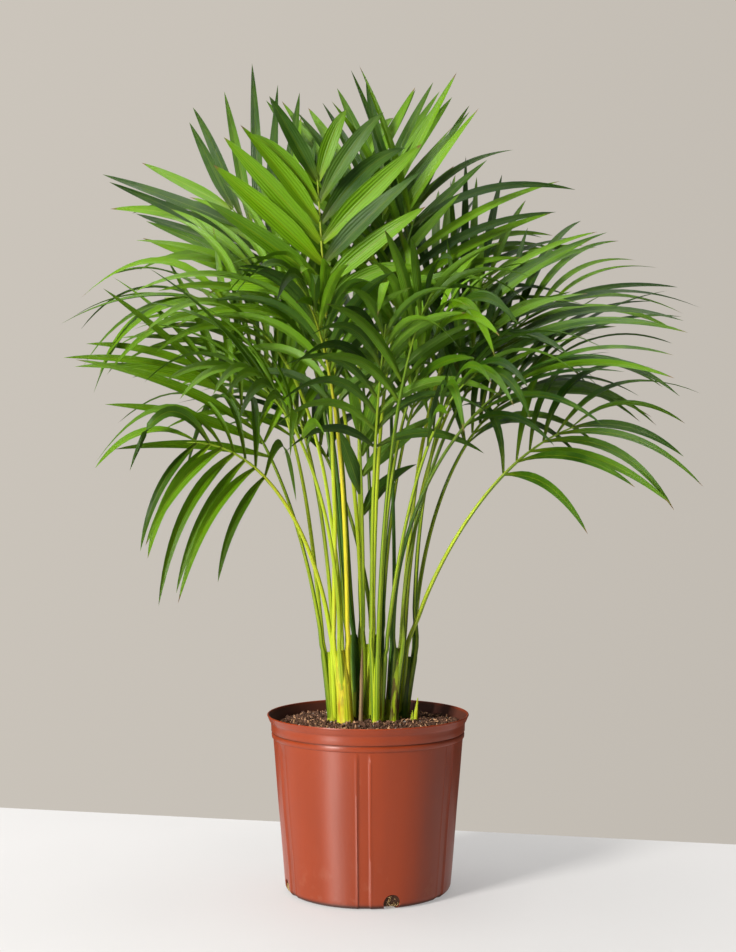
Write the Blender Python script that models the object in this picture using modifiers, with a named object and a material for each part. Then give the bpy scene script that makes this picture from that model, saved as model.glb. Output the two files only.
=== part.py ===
"""Potted areca palm in a plain nursery grow pot. Metres, +Z up, the pot's underside centred on the origin."""

import math
import random
from typing import NamedTuple

import bmesh
import bpy
import numpy as np
from mathutils.bvhtree import BVHTree

# Pot: a ten-inch blow-moulded grow pot, round its own Z axis.
POT_HEIGHT = 0.221
RIM_RADIUS = 0.127
BAND_RADIUS = 0.1225
BODY_TOP_RADIUS = 0.1195
BODY_FOOT_RADIUS = 0.1045
FOOT_ROUND = 0.010
POT_WALL = 0.0018
LIP_HEIGHT = 0.010
BAND_HEIGHT = 0.011
GROOVE_DEPTH = 0.0022
LIP_EDGE = 0.0012
LIP_UNDERCUT = 0.0008
LIP_DEPTH = 0.0045
LIP_LEAN = 0.003
BAND_TAPER = 0.0005
BEAD_STEP = 0.0012
BEAD_TOP = 0.0035
SHOULDER_STEP = 0.002
SHOULDER_DROP = 0.030
POT_STEPS = 48
FOOT_STEPS = 4
DRAIN_HOLES = 4
DRAIN_RADIUS = 0.0105
DRAIN_CENTRE_HEIGHT = 0.008
DRAIN_HEADING = 16.0
DRAIN_CUT_LENGTH = 0.024
DRAIN_STEPS = 20

# Soil: fills the pot to a little under the lip, mounded towards the canes.
FIT_GAP = 0.0003
SOIL_EDGE_HEIGHT = 0.204
SOIL_MOUND = 0.006
SOIL_STEPS = 40
SOIL_RINGS = (0.0, 0.25, 0.5, 0.75, 0.92)

# Canes: slightly bowed tubes.
CANE_BURIED = 0.028
CANE_RINGS = (0.0, 0.12, 0.35, 0.65, 1.0)
CANE_BOW = 1.5

# Leaf stalks and their ribs.
STALK_FOOT_THICKNESS = 0.0066
STALK_KNEE_THICKNESS = 0.0046
RIB_TIP_THICKNESS = 0.0016
STALK_GAP = 0.0020
FOOT_RINGS = (0.0, 0.0, 1.0, 1.28, 1.56)
AXIS_POINTS = 41
STALK_STATIONS = 8
EASE_ROUNDS = 110
STALK_ROOM = 1.5
HELD_POINTS = 4
SMOOTH_PASSES = 3

# Leaflets.
BLADE_THICKNESS = 0.0010
BLADE_CLEARANCE = 0.0006
BASE_SHARE = 0.5
WIDEST_AT = 0.45
SPREAD_AT_TIP = 16.0
SHORTEST_SHARE = 0.62
ROLL_FROM = 0.35
SPLAY_EASE = 0.8
LIFT_LOST = 0.4
SPREAD_SWING = 7.0
LIFT_SWING = 10.0
DROOP_SWING = 0.4
LENGTH_SWING = 0.09
LENGTH_START = 0.12
WIDTH_HELD = 0.6
EARLY_DROOP = 0.25
SAG = 1.5
TURNS_TRIED = ((0, 0), (7, 0), (-7, 0), (0, 8), (0, -8), (12, 8), (-12, 8), (12, -8), (-12, -8),
               (18, 0), (-18, 0), (0, 18), (0, -18), (20, 16), (-20, -16), (28, 0), (-26, 0), (0, 30))
LENGTHS_TRIED = (1.0, 0.82, 0.64)

UP = np.array([0.0, 0.0, 1.0])


class Cane(NamedTuple):
    """A stem standing in the soil: its foot and top on plan, its height and its radii."""
    foot: tuple
    top: tuple
    height: float
    foot_radius: float
    top_radius: float
    colour: tuple


class Frond(NamedTuple):
    """A leaf. rise, arch and tip are the handles and end of its curve, as (out, height), along its heading."""
    cane: str
    heading: float
    rise: tuple
    arch: tuple
    tip: tuple
    knee: float
    pairs: int
    length: float
    width: float
    splay: float
    lift: float
    droop: float
    roll: float


YELLOW_GREEN = (0.42, 0.55, 0.06)
FRESH_GREEN = (0.20, 0.42, 0.05)
DARK_GREEN = (0.07, 0.17, 0.03)
OLIVE = (0.27, 0.24, 0.08)
DRIED = (0.38, 0.26, 0.12)

CANES = {
    "cane_left": Cane((-0.027, -0.020), (-0.034, -0.022), 0.302, 0.0105, 0.0090, YELLOW_GREEN),
    "cane_far_left": Cane((-0.043, -0.002), (-0.050, -0.002), 0.298, 0.0070, 0.0062, FRESH_GREEN),
    "cane_behind": Cane((-0.016, 0.013), (-0.018, 0.017), 0.318, 0.0090, 0.0085, DARK_GREEN),
    "cane_centre": Cane((0.000, -0.004), (0.000, -0.001), 0.308, 0.0062, 0.0060, FRESH_GREEN),
    "cane_front": Cane((0.012, -0.023), (0.013, -0.026), 0.296, 0.0068, 0.0062, YELLOW_GREEN),
    "cane_right": Cane((0.028, -0.009), (0.037, -0.010), 0.304, 0.0092, 0.0085, OLIVE),
    "cane_far_right": Cane((0.043, 0.015), (0.053, 0.015), 0.290, 0.0085, 0.0078, FRESH_GREEN),
    "cane_back": Cane((0.013, 0.032), (0.012, 0.039), 0.316, 0.0090, 0.0082, DARK_GREEN),
    "dried_stub": Cane((-0.009, -0.016), (-0.007, -0.019), 0.306, 0.0032, 0.0020, DRIED),
    "sprout_tall": Cane((0.058, 0.001), (0.063, 0.001), 0.240, 0.0040, 0.0020, YELLOW_GREEN),
    "sprout_short": Cane((0.053, -0.012), (0.056, -0.014), 0.226, 0.0034, 0.0018, FRESH_GREEN),
}

FRONDS = {
    "frond_top_centre": Frond("cane_left", 205, (-0.005, 0.505), (0.010, 0.700), (0.024, 0.905),
                              0.71, 7, 0.180, 0.0270, 62, 10, 0.10, 115),
    "frond_top_left": Frond("cane_behind", 150, (0.023, 0.550), (0.027, 0.745), (0.190, 0.886),
                            0.72, 8, 0.240, 0.0185, 36, 8, 0.05, 70),
    "frond_top_back": Frond("cane_behind", 95, (0.009, 0.538), (0.019, 0.757), (0.097, 0.924),
                            0.70, 8, 0.215, 0.0200, 36, 15, 0.10, 10),
    "frond_top_ahead": Frond("cane_centre", 70, (0.005, 0.519), (0.009, 0.728), (0.053, 0.920),
                             0.72, 7, 0.205, 0.0190, 38, 15, 0.15, 0),
    "frond_top_right": Frond("cane_right", 32, (0.017, 0.484), (-0.035, 0.719), (0.050, 0.880),
                             0.72, 9, 0.235, 0.0130, 50, 12, 0.40, -65),
    "frond_right_upper": Frond("cane_back", 40, (0.004, 0.490), (0.019, 0.692), (0.128, 0.820),
                               0.68, 8, 0.205, 0.0115, 45, 20, 0.50, -40),
    "frond_right_steep": Frond("cane_right", 28, (0.013, 0.442), (0.023, 0.686), (0.144, 0.791),
                               0.66, 8, 0.210, 0.0120, 40, 20, 0.30, -45),
    "frond_right_high": Frond("cane_right", 8, (-0.009, 0.428), (0.060, 0.687), (0.203, 0.744),
                              0.64, 9, 0.235, 0.0125, 36, 18, 0.45, -45),
    "frond_right_out": Frond("cane_right", -12, (-0.009, 0.442), (0.064, 0.617), (0.207, 0.663),
                             0.66, 9, 0.235, 0.0125, 38, 18, 0.50, -40),
    "frond_right_mid": Frond("cane_far_right", 18, (0.004, 0.416), (0.044, 0.598), (0.172, 0.642),
                             0.66, 8, 0.210, 0.0120, 45, 20, 0.65, -35),
    "frond_right_low": Frond("cane_far_right", -18, (0.026, 0.393), (0.112, 0.555), (0.228, 0.584),
                             0.67, 6, 0.215, 0.0125, 62, 12, 0.70, -55),
    "frond_right_back": Frond("cane_far_right", 38, (0.004, 0.441), (0.038, 0.632), (0.181, 0.708),
                              0.64, 8, 0.205, 0.0120, 42, 20, 0.40, -30),
    "frond_right_front": Frond("cane_front", -42, (0.013, 0.373), (0.048, 0.609), (0.150, 0.642),
                               0.66, 7, 0.215, 0.0140, 40, 15, 0.80, -35),
    "frond_front_centre": Frond("cane_front", -80, (-0.008, 0.440), (0.012, 0.590), (0.095, 0.700),
                                0.60, 8, 0.165, 0.0130, 56, 0, 0.75, 0),
    "frond_front_right": Frond("cane_front", -58, (0.005, 0.435), (0.033, 0.659), (0.119, 0.735),
                               0.64, 7, 0.170, 0.0140, 48, 15, 0.60, 0),
    "frond_front_left": Frond("cane_left", -115, (0.000, 0.444), (0.016, 0.645), (0.103, 0.723),
                              0.64, 7, 0.170, 0.0140, 48, 15, 0.60, 0),
    "frond_left_front": Frond("cane_left", 222, (-0.004, 0.411), (0.039, 0.606), (0.154, 0.642),
                              0.66, 8, 0.205, 0.0130, 45, 20, 0.60, 35),
    "frond_left_low": Frond("cane_far_left", 208, (0.009, 0.401), (0.073, 0.566), (0.195, 0.560),
                            0.66, 7, 0.185, 0.0150, 76, 0, 1.10, 65),
    "frond_left_mid": Frond("cane_far_left", 188, (0.013, 0.399), (0.052, 0.579), (0.148, 0.653),
                            0.64, 8, 0.245, 0.0150, 48, 10, 0.25, 60),
    "frond_left_inner": Frond("cane_far_left", 165, (0.018, 0.423), (0.020, 0.612), (0.119, 0.710),
                              0.62, 9, 0.205, 0.0120, 45, 15, 0.55, 50),
    "frond_left_out": Frond("cane_left", 180, (0.009, 0.451), (0.019, 0.764), (0.223, 0.743),
                            0.64, 9, 0.215, 0.0120, 32, 20, 0.75, 40),
    "frond_left_high": Frond("cane_behind", 168, (0.030, 0.468), (0.000, 0.718), (0.150, 0.797),
                             0.66, 8, 0.215, 0.0145, 36, 15, 0.45, 45),
    "frond_back_left": Frond("cane_behind", 128, (0.027, 0.491), (0.013, 0.703), (0.142, 0.827),
                             0.66, 7, 0.200, 0.0160, 40, 20, 0.30, 30),
    "frond_back": Frond("cane_back", 100, (0.009, 0.464), (0.050, 0.673), (0.168, 0.757),
                        0.62, 8, 0.190, 0.0150, 45, 25, 0.50, 0),
    "frond_back_right": Frond("cane_back", 62, (0.009, 0.443), (0.056, 0.636), (0.183, 0.698),
                              0.64, 8, 0.190, 0.0140, 42, 22, 0.45, -15),
    "frond_back_low": Frond("cane_back", 140, (0.009, 0.414), (0.062, 0.583), (0.178, 0.628),
                            0.64, 7, 0.180, 0.0140, 45, 22, 0.70, 20),
    "frond_mid_left": Frond("cane_centre", 226, (0.009, 0.463), (0.026, 0.689), (0.117, 0.754),
                            0.68, 7, 0.165, 0.0175, 52, 18, 0.90, 30),
    "frond_mid_right": Frond("cane_front", -20, (0.004, 0.441), (0.017, 0.659), (0.108, 0.730),
                             0.68, 7, 0.170, 0.0165, 48, 18, 0.80, -35),
    "frond_mid_front": Frond("cane_centre", -65, (0.006, 0.470), (0.018, 0.650), (0.085, 0.735),
                             0.66, 6, 0.150, 0.0175, 58, 18, 1.10, 0),
    "frond_right_inner": Frond("cane_far_right", -4, (-0.004, 0.450), (0.020, 0.650), (0.105, 0.715),
                               0.66, 7, 0.175, 0.0150, 46, 15, 0.60, -50),
    "frond_left_back": Frond("cane_far_left", 132, (0.010, 0.450), (0.050, 0.650), (0.165, 0.690),
                             0.64, 7, 0.175, 0.0135, 42, 22, 0.60, 25),
    "frond_young": Frond("cane_centre", -100, (0.000, 0.400), (0.004, 0.500), (0.024, 0.585),
                         0.56, 5, 0.120, 0.0220, 45, 18, 0.30, 0),
}


def clear_scene():
    """Removes every object that the scene starts with."""
    for item in list(bpy.data.objects):
        bpy.data.objects.remove(item, do_unlink=True)


def new_collection(name):
    """A collection linked to the scene."""
    group = bpy.data.collections.new(name)
    bpy.context.scene.collection.children.link(group)
    return group


def plain_material(name, colour, roughness):
    """A Principled material of one colour, non-metallic."""
    material = bpy.data.materials.new(name)
    material.use_nodes = True
    shader = material.node_tree.nodes["Principled BSDF"]
    shader.inputs["Base Color"].default_value = (*colour, 1.0)
    shader.inputs["Roughness"].default_value = roughness
    shader.inputs["Metallic"].default_value = 0.0
    return material


def add_object(name, data, group, material=None):
    """An object for mesh or curve data, in a collection, with its material."""
    item = bpy.data.objects.new(name, data)
    group.objects.link(item)
    if material:
        data.materials.append(material)
    return item


def turned(name, profile, steps, group, material):
    """A solid of revolution round Z from (radius, height) points that start and end on the axis."""
    mesh = bpy.data.meshes.new(name)
    mesh.from_pydata([(radius, 0.0, height) for radius, height in profile],
                     [(i, i + 1) for i in range(len(profile) - 1)], [])
    item = add_object(name, mesh, group, material)
    screw = item.modifiers.new("turn", "SCREW")
    screw.steps = steps
    screw.render_steps = steps
    screw.use_merge_vertices = True
    screw.merge_threshold = 0.00005
    screw.use_smooth_shade = True
    return item


def cut(item, cutter, group):
    """Cuts a mesh object with another, which stays as a hidden wire in the cutters' collection."""
    for holder in list(cutter.users_collection):
        holder.objects.unlink(cutter)
    group.objects.link(cutter)
    cutter.hide_render = True
    cutter.display_type = "WIRE"
    boolean = item.modifiers.new(cutter.name, "BOOLEAN")
    boolean.operation = "DIFFERENCE"
    boolean.object = cutter


def wall_radius(height):
    """Outer radius of the pot's plain tapered body at a height."""
    shoulder = POT_HEIGHT - SHOULDER_DROP
    share = (height - FOOT_ROUND) / (shoulder - FOOT_ROUND)
    return BODY_FOOT_RADIUS + share * (BODY_TOP_RADIUS - BODY_FOOT_RADIUS)


def pot_outside():
    """Outer profile from the lip down to the middle of the underside."""
    lip_foot = POT_HEIGHT - LIP_HEIGHT
    band_foot = lip_foot - BAND_HEIGHT
    shoulder = POT_HEIGHT - SHOULDER_DROP
    points = [
        (RIM_RADIUS - LIP_EDGE / 3, POT_HEIGHT),
        (RIM_RADIUS, POT_HEIGHT - LIP_EDGE),
        (RIM_RADIUS - LIP_UNDERCUT, POT_HEIGHT - LIP_DEPTH),
        (BAND_RADIUS + BEAD_STEP, lip_foot + BEAD_STEP),
        (BAND_RADIUS, lip_foot),
        (BAND_RADIUS - BAND_TAPER, band_foot),
        (BAND_RADIUS - GROOVE_DEPTH, band_foot - BEAD_STEP),
        (BAND_RADIUS - BEAD_STEP, band_foot - BEAD_TOP),
        (BAND_RADIUS - BEAD_STEP, shoulder + SHOULDER_STEP),
        (BODY_TOP_RADIUS, shoulder),
    ]
    for step in range(FOOT_STEPS + 1):
        turn = math.pi / 2 * step / FOOT_STEPS
        points.append((wall_radius(FOOT_ROUND) - FOOT_ROUND * (1 - math.cos(turn)),
                       FOOT_ROUND * (1 - math.sin(turn))))
    return points + [(0.0, 0.0)]


def pot_inside(offset):
    """Inner profile, offset from the outside, from the middle of the floor up to the lip."""
    foot = wall_radius(FOOT_ROUND) - offset
    points = [(0.0, offset)]
    for step in range(FOOT_STEPS):
        turn = math.pi / 2 * step / (FOOT_STEPS - 1)
        points.append((foot - FOOT_ROUND * (1 - math.sin(turn)),
                       offset + FOOT_ROUND * (1 - math.cos(turn))))
    points.append((BODY_TOP_RADIUS - offset, POT_HEIGHT - SHOULDER_DROP))
    return points


def build_pot(group, cutters):
    """The thin moulded shell with its banded rim and the drain holes at the wall's foot."""
    material = plain_material("pot_plastic", (0.47, 0.13, 0.07), 0.42)
    rim = [(BAND_RADIUS - GROOVE_DEPTH - POT_WALL, POT_HEIGHT - LIP_HEIGHT - BAND_HEIGHT),
           (BAND_RADIUS - POT_WALL, POT_HEIGHT - LIP_HEIGHT),
           (RIM_RADIUS - POT_WALL, POT_HEIGHT - LIP_LEAN),
           (RIM_RADIUS - POT_WALL, POT_HEIGHT)]
    pot = turned("grow_pot", pot_inside(POT_WALL) + rim + pot_outside(), POT_STEPS, group, material)
    for index in range(DRAIN_HOLES):
        cut(pot, drain_cutter(index), cutters)


def drain_cutter(index):
    """A cylinder lying along a radius, through the wall's rounded foot."""
    heading = math.radians(DRAIN_HEADING + 360.0 * index / DRAIN_HOLES)
    reach = BODY_FOOT_RADIUS - FOOT_ROUND / 2
    bpy.ops.mesh.primitive_cylinder_add(
        vertices=DRAIN_STEPS, radius=DRAIN_RADIUS, depth=DRAIN_CUT_LENGTH,
        location=(reach * math.cos(heading), reach * math.sin(heading), DRAIN_CENTRE_HEIGHT),
        rotation=(0.0, math.pi / 2, heading))
    cutter = bpy.context.object
    cutter.name = f"drain_cutter_{index + 1}"
    return cutter


def build_soil(group, cutters):
    """The potting mix, a fit gap inside the shell, with a socket for every cane."""
    material = plain_material("potting_mix", (0.045, 0.026, 0.015), 0.95)
    edge = BAND_RADIUS - GROOVE_DEPTH - POT_WALL - 2 * FIT_GAP
    profile = [(radius * edge, SOIL_EDGE_HEIGHT + SOIL_MOUND * (1 - radius ** 2))
               for radius in SOIL_RINGS]
    profile.append((edge, SOIL_EDGE_HEIGHT))
    lining = pot_inside(POT_WALL + FIT_GAP)
    soil = turned("soil", profile + lining[::-1], SOIL_STEPS, group, material)
    for name, cane in CANES.items():
        cut(soil, socket_cutter(name, cane), cutters)


def cane_curve(name, cane, growth):
    """A tapered tube through a cane's line, its radius grown by an amount."""
    curve = bpy.data.curves.new(name, "CURVE")
    curve.dimensions = "3D"
    curve.bevel_depth = 1.0
    curve.bevel_resolution = 2
    curve.use_fill_caps = True
    spline = curve.splines.new("POLY")
    start = soil_height(cane.foot) - CANE_BURIED - growth
    spline.points.add(len(CANE_RINGS) - 1)
    for point, share in zip(spline.points, CANE_RINGS):
        bow = share ** CANE_BOW
        x = cane.foot[0] + (cane.top[0] - cane.foot[0]) * bow
        y = cane.foot[1] + (cane.top[1] - cane.foot[1]) * bow
        point.co = (x, y, start + (cane.height - start) * share, 1.0)
        point.radius = cane.foot_radius + (cane.top_radius - cane.foot_radius) * share + growth
    return curve


def soil_height(place):
    """Height of the soil's surface at a place on plan."""
    edge = BAND_RADIUS - GROOVE_DEPTH - POT_WALL
    return SOIL_EDGE_HEIGHT + SOIL_MOUND * (1 - (math.hypot(*place) / edge) ** 2)


def socket_cutter(name, cane):
    """The cane's tube, a fit gap larger, as a mesh that can cut."""
    curve = cane_curve(name + "_socket_curve", cane, FIT_GAP)
    source = bpy.data.objects.new(curve.name, curve)
    bpy.context.scene.collection.objects.link(source)
    bpy.context.view_layer.update()
    evaluated = source.evaluated_get(bpy.context.evaluated_depsgraph_get())
    mesh = bpy.data.meshes.new_from_object(evaluated)
    shape = bmesh.new()
    shape.from_mesh(mesh)
    bmesh.ops.remove_doubles(shape, verts=shape.verts, dist=0.00001)
    shape.to_mesh(mesh)
    shape.free()
    cutter = bpy.data.objects.new(name + "_socket", mesh)
    cutter.matrix_world = source.matrix_world
    bpy.context.scene.collection.objects.link(cutter)
    bpy.data.objects.remove(source, do_unlink=True)
    return cutter


def build_canes(group):
    """Every cane, dried stub and sprout."""
    for name, cane in CANES.items():
        material = plain_material(name + "_skin", cane.colour, 0.40)
        add_object(name, cane_curve(name, cane, 0.0), group, material)


def unit(vector):
    """A vector, or rows of vectors, at length one."""
    return vector / np.linalg.norm(vector, axis=-1, keepdims=True)


def mean_heading(degrees):
    """The mean direction of some headings, in radians."""
    turns = [math.radians(degree) for degree in degrees]
    return math.atan2(sum(math.sin(turn) for turn in turns), sum(math.cos(turn) for turn in turns))


def turn_from(start, end):
    """The turn from one direction to another, between minus and plus half a turn."""
    return (end - start + math.pi) % math.tau - math.pi


def stalk_feet():
    """Where each frond's stalk starts: side by side on the cut top of its cane."""
    feet = {}
    for cane_name, cane in CANES.items():
        names = [name for name, frond in FRONDS.items() if frond.cane == cane_name]
        middle = mean_heading([FRONDS[name].heading for name in names])
        names.sort(key=lambda name: turn_from(middle, math.radians(FRONDS[name].heading)))
        ring = FOOT_RINGS[len(names)] * (STALK_FOOT_THICKNESS / 2 + STALK_GAP)
        for name in names:
            turn = middle + math.tau * (names.index(name) - (len(names) - 1) / 2) / len(names)
            feet[name] = np.array([cane.top[0] + ring * math.cos(turn),
                                   cane.top[1] + ring * math.sin(turn),
                                   cane.height + STALK_GAP])
    return feet


def frond_axis(frond, foot):
    """Points along a frond's stalk and rib, on a Bezier curve in the upright plane of its heading."""
    t = np.linspace(0.0, 1.0, AXIS_POINTS)[:, None]
    ends = [np.array([0.0, foot[2]]), np.array(frond.rise), np.array(frond.arch), np.array(frond.tip)]
    shares = [(1 - t) ** 3, 3 * t * (1 - t) ** 2, 3 * t * t * (1 - t), t ** 3]
    flat = sum(share * end for share, end in zip(shares, ends))
    heading = math.radians(frond.heading)
    forward = np.array([math.cos(heading), math.sin(heading)])
    return np.column_stack([foot[:2] + flat[:, :1] * forward, flat[:, 1]])


def thickness_at(share, knee):
    """Thickness of a stalk or rib at a share of its length."""
    return np.interp(share, (0.0, knee, 1.0),
                     (STALK_FOOT_THICKNESS, STALK_KNEE_THICKNESS, RIB_TIP_THICKNESS))


def eased_apart(axes, radii):
    """The stalks after each has pushed its neighbours aside. Their feet stay on the canes."""
    count, steps = axes.shape[:2]
    owner = np.repeat(np.arange(count), steps)
    others = owner[:, None] != owner[None, :]
    reach = radii.reshape(-1)
    wanted = STALK_ROOM * (reach[:, None] + reach[None, :]) + STALK_GAP
    hold = np.clip(np.arange(steps) / HELD_POINTS, 0.0, 1.0)[None, :, None]
    for _ in range(EASE_ROUNDS):
        points = axes.reshape(-1, 3)
        apart = points[:, None] - points[None, :]
        distance = np.linalg.norm(apart, axis=2) + 1e-9
        short = np.clip(wanted - distance, 0.0, None) * others
        push = (apart * (short / distance)[..., None]).sum(axis=1).reshape(axes.shape) / 2
        for _ in range(SMOOTH_PASSES):
            padded = np.concatenate([push[:, :1], push, push[:, -1:]], axis=1)
            push = (padded[:, :-2] + 2 * padded[:, 1:-1] + padded[:, 2:]) / 4
        axes = axes + push * hold
    return axes


class Stations(NamedTuple):
    """Cross-sections along one frond: centre, tangent, right-hand side, upper face and thickness."""
    centre: np.ndarray
    along: np.ndarray
    side: np.ndarray
    face: np.ndarray
    thickness: np.ndarray


def frond_stations(frond, axis):
    """Sections for the stalk, then a start and an end section for each pair of leaflets."""
    slot = (1.0 - frond.knee) / frond.pairs
    shares = list(np.linspace(0.0, frond.knee, STALK_STATIONS, endpoint=False))
    for pair in range(frond.pairs):
        shares += [frond.knee + slot * pair, frond.knee + slot * (pair + BASE_SHARE)]
    shares = np.array(shares)
    places = np.linspace(0.0, 1.0, AXIS_POINTS)
    centre = np.column_stack([np.interp(shares, places, axis[:, k]) for k in range(3)])
    slope = np.gradient(axis, axis=0)
    along = unit(np.column_stack([np.interp(shares, places, slope[:, k]) for k in range(3)]))
    heading = math.radians(frond.heading)
    level = np.array([math.sin(heading), -math.cos(heading), 0.0])
    side = unit(level - along * (along @ level)[:, None])
    face = np.cross(side, along)
    rolled = np.clip((shares / frond.knee - ROLL_FROM) / (1 - ROLL_FROM), 0, 1)[:, None]
    roll = math.radians(frond.roll) * rolled
    side, face = side * np.cos(roll) + face * np.sin(roll), face * np.cos(roll) - side * np.sin(roll)
    return Stations(centre, along, side, face, thickness_at(shares, frond.knee))


class Leaflet(NamedTuple):
    """A blade: the two ends of its base, the two edges at its widest and its tip."""
    near: np.ndarray
    far: np.ndarray
    edge_near: np.ndarray
    edge_far: np.ndarray
    tip: np.ndarray


def leaflet_shape(frond, stations, pair, hand, turn, scale, chance):
    """One leaflet on one side of a pair, turned by (spread, lift) degrees from its usual direction."""
    share = (pair + 0.5) / frond.pairs
    first = STALK_STATIONS + 2 * pair
    out = hand * stations.side[first:first + 2]
    near, far = stations.centre[first:first + 2] + out * stations.thickness[first:first + 2, None] / 2
    along, side, face = stations.along[first], out[0], stations.face[first]
    spread = math.radians(frond.splay + (SPREAD_AT_TIP - frond.splay) * share ** SPLAY_EASE
                          + turn[0] + chance.uniform(-SPREAD_SWING, SPREAD_SWING))
    lift = math.radians(frond.lift * (1 - LIFT_LOST * share)
                        + turn[1] + chance.uniform(-LIFT_SWING, LIFT_SWING))
    aim = math.cos(spread) * along + math.sin(spread) * (math.cos(lift) * side + math.sin(lift) * face)
    sagging = SAG * max(0.0, -aim[2])
    droop = frond.droop * chance.uniform(1 - DROOP_SWING, 1 + DROOP_SWING) * (1 + sagging)
    fullness = math.sin(math.pi * (LENGTH_START + (1 - LENGTH_START) * share))
    size = SHORTEST_SHARE + (1 - SHORTEST_SHARE) * fullness
    length = frond.length * size * scale * chance.uniform(1 - LENGTH_SWING, 1 + LENGTH_SWING)
    first_half = unit(aim - UP * droop * EARLY_DROOP * (1 + sagging))
    second_half = unit(aim - UP * droop)
    base = (near + far) / 2
    middle = base + first_half * length * WIDEST_AT
    tip = middle + second_half * length * (1 - WIDEST_AT)
    half_width = frond.width / 2 * (WIDTH_HELD + (1 - WIDTH_HELD) * size)
    across = unit(along - first_half * (along @ first_half)) * half_width
    return Leaflet(near, far, middle - across, middle + across, tip)


def blade_hull(leaflet, base_half):
    """A closed prism round a leaflet, thicker by the clearance, for finding what it would touch."""
    centre = (leaflet.edge_near + leaflet.edge_far) / 2
    across = leaflet.edge_far - leaflet.edge_near
    normal = unit(np.cross(centre - leaflet.near, across))
    half = BLADE_THICKNESS / 2 + BLADE_CLEARANCE
    rows = [(leaflet.near, base_half + BLADE_CLEARANCE), (leaflet.far, base_half + BLADE_CLEARANCE),
            (leaflet.edge_far, half), (leaflet.tip, half), (leaflet.edge_near, half)]
    upper = [point + normal * reach for point, reach in rows]
    lower = [point - normal * reach for point, reach in rows]
    walls = [(i, (i + 1) % 5, (i + 1) % 5 + 5, i + 5) for i in range(5)]
    caps = [(0, 1, 2, 4), (2, 3, 4), (5, 6, 7, 9), (7, 8, 9)]
    return upper + lower, caps + walls


def stalk_hull(stations):
    """A closed four-sided tube round a whole stalk and rib."""
    points, faces = [], []
    for row in range(len(stations.centre)):
        half = stations.thickness[row] / 2 + BLADE_CLEARANCE
        for side, face in ((-1, -1), (1, -1), (1, 1), (-1, 1)):
            points.append(stations.centre[row] + half * (side * stations.side[row]
                                                         + face * stations.face[row]))
        if row:
            first = 4 * (row - 1)
            faces += [(first + k, first + (k + 1) % 4, first + 4 + (k + 1) % 4, first + 4 + k)
                      for k in range(4)]
    return points, faces


class Crowd:
    """Everything placed so far, for asking whether a new hull would touch any of it."""

    def __init__(self):
        self.trees, self.lows, self.highs, self.owners = [], [], [], []

    def add(self, hull, owner):
        """Places a hull. owner names the frond whose own leaflets ignore it, or is None."""
        points = np.array(hull[0])
        self.trees.append(BVHTree.FromPolygons([tuple(p) for p in points], hull[1]))
        self.lows.append(points.min(axis=0))
        self.highs.append(points.max(axis=0))
        self.owners.append(owner)

    def touches(self, hull, owner):
        """Whether a hull meets anything that its own frond doesn't ignore."""
        points = np.array(hull[0])
        near = ((np.array(self.lows) < points.max(axis=0))
                & (np.array(self.highs) > points.min(axis=0))).all(axis=1)
        tree = BVHTree.FromPolygons([tuple(p) for p in points], hull[1])
        return any(self.owners[i] != owner and tree.overlap(self.trees[i]) for i in np.nonzero(near)[0])


def grow_leaflets(stations):
    """Every frond's leaflets, each turned or shortened until it touches nothing already grown."""
    crowd = Crowd()
    for name in FRONDS:
        crowd.add(stalk_hull(stations[name]), name)
    grown = {name: {} for name in FRONDS}
    for name, frond in FRONDS.items():
        for pair in reversed(range(frond.pairs)):
            for hand in (-1, 1):
                leaflet, hull = first_free(frond, stations[name], pair, hand, name, crowd)
                if leaflet:
                    crowd.add(hull, None)
                    grown[name][pair, hand] = leaflet
    return grown


def first_free(frond, stations, pair, hand, name, crowd):
    """The first leaflet shape, over the lengths and turns tried, that touches nothing."""
    half = stations.thickness[STALK_STATIONS + 2 * pair] / 2
    for scale in LENGTHS_TRIED:
        for turn in TURNS_TRIED:
            chance = random.Random(f"{name} {pair} {hand}")
            leaflet = leaflet_shape(frond, stations, pair, hand, turn, scale, chance)
            hull = blade_hull(leaflet, half)
            if not crowd.touches(hull, name):
                return leaflet, hull
    return None, None


def frond_mesh(name, stations, leaflets):
    """An open surface: the stalk and rib as a strip, with each leaflet growing from its edge."""
    shape = bmesh.new()
    weights = []

    def vertex(place, thickness):
        weights.append(thickness / STALK_FOOT_THICKNESS)
        return shape.verts.new(place)

    rails = {-1: [], 1: []}
    for row, centre in enumerate(stations.centre):
        for hand, rail in rails.items():
            place = centre + hand * stations.side[row] * stations.thickness[row] / 2
            rail.append(vertex(place, stations.thickness[row]))
    left, right = rails[-1], rails[1]
    for row in range(len(left) - 1):
        shape.faces.new((left[row], right[row], right[row + 1], left[row + 1]))
    for (pair, hand), leaflet in leaflets.items():
        first = STALK_STATIONS + 2 * pair
        near, far = rails[hand][first:first + 2]
        edge_near = vertex(leaflet.edge_near, BLADE_THICKNESS)
        edge_far = vertex(leaflet.edge_far, BLADE_THICKNESS)
        tip = vertex(leaflet.tip, BLADE_THICKNESS)
        for corners in ((far, near, edge_near, edge_far), (edge_far, edge_near, tip)):
            shape.faces.new(corners if hand > 0 else corners[::-1])
    mesh = bpy.data.meshes.new(name)
    shape.to_mesh(mesh)
    shape.free()
    return mesh, weights


def build_frond(name, stations, leaflets, group):
    """One frond: its surface thickened, stout in the stalk and thin in the leaflets."""
    mesh, weights = frond_mesh(name, stations, leaflets)
    item = add_object(name, mesh, group, plain_material(name + "_green", (0.10, 0.28, 0.03), 0.45))
    stout = item.vertex_groups.new(name="stout")
    for index, weight in enumerate(weights):
        stout.add([index], weight, "REPLACE")
    solid = item.modifiers.new("thickness", "SOLIDIFY")
    solid.thickness = STALK_FOOT_THICKNESS
    solid.offset = 0.0
    solid.vertex_group = stout.name


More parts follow.
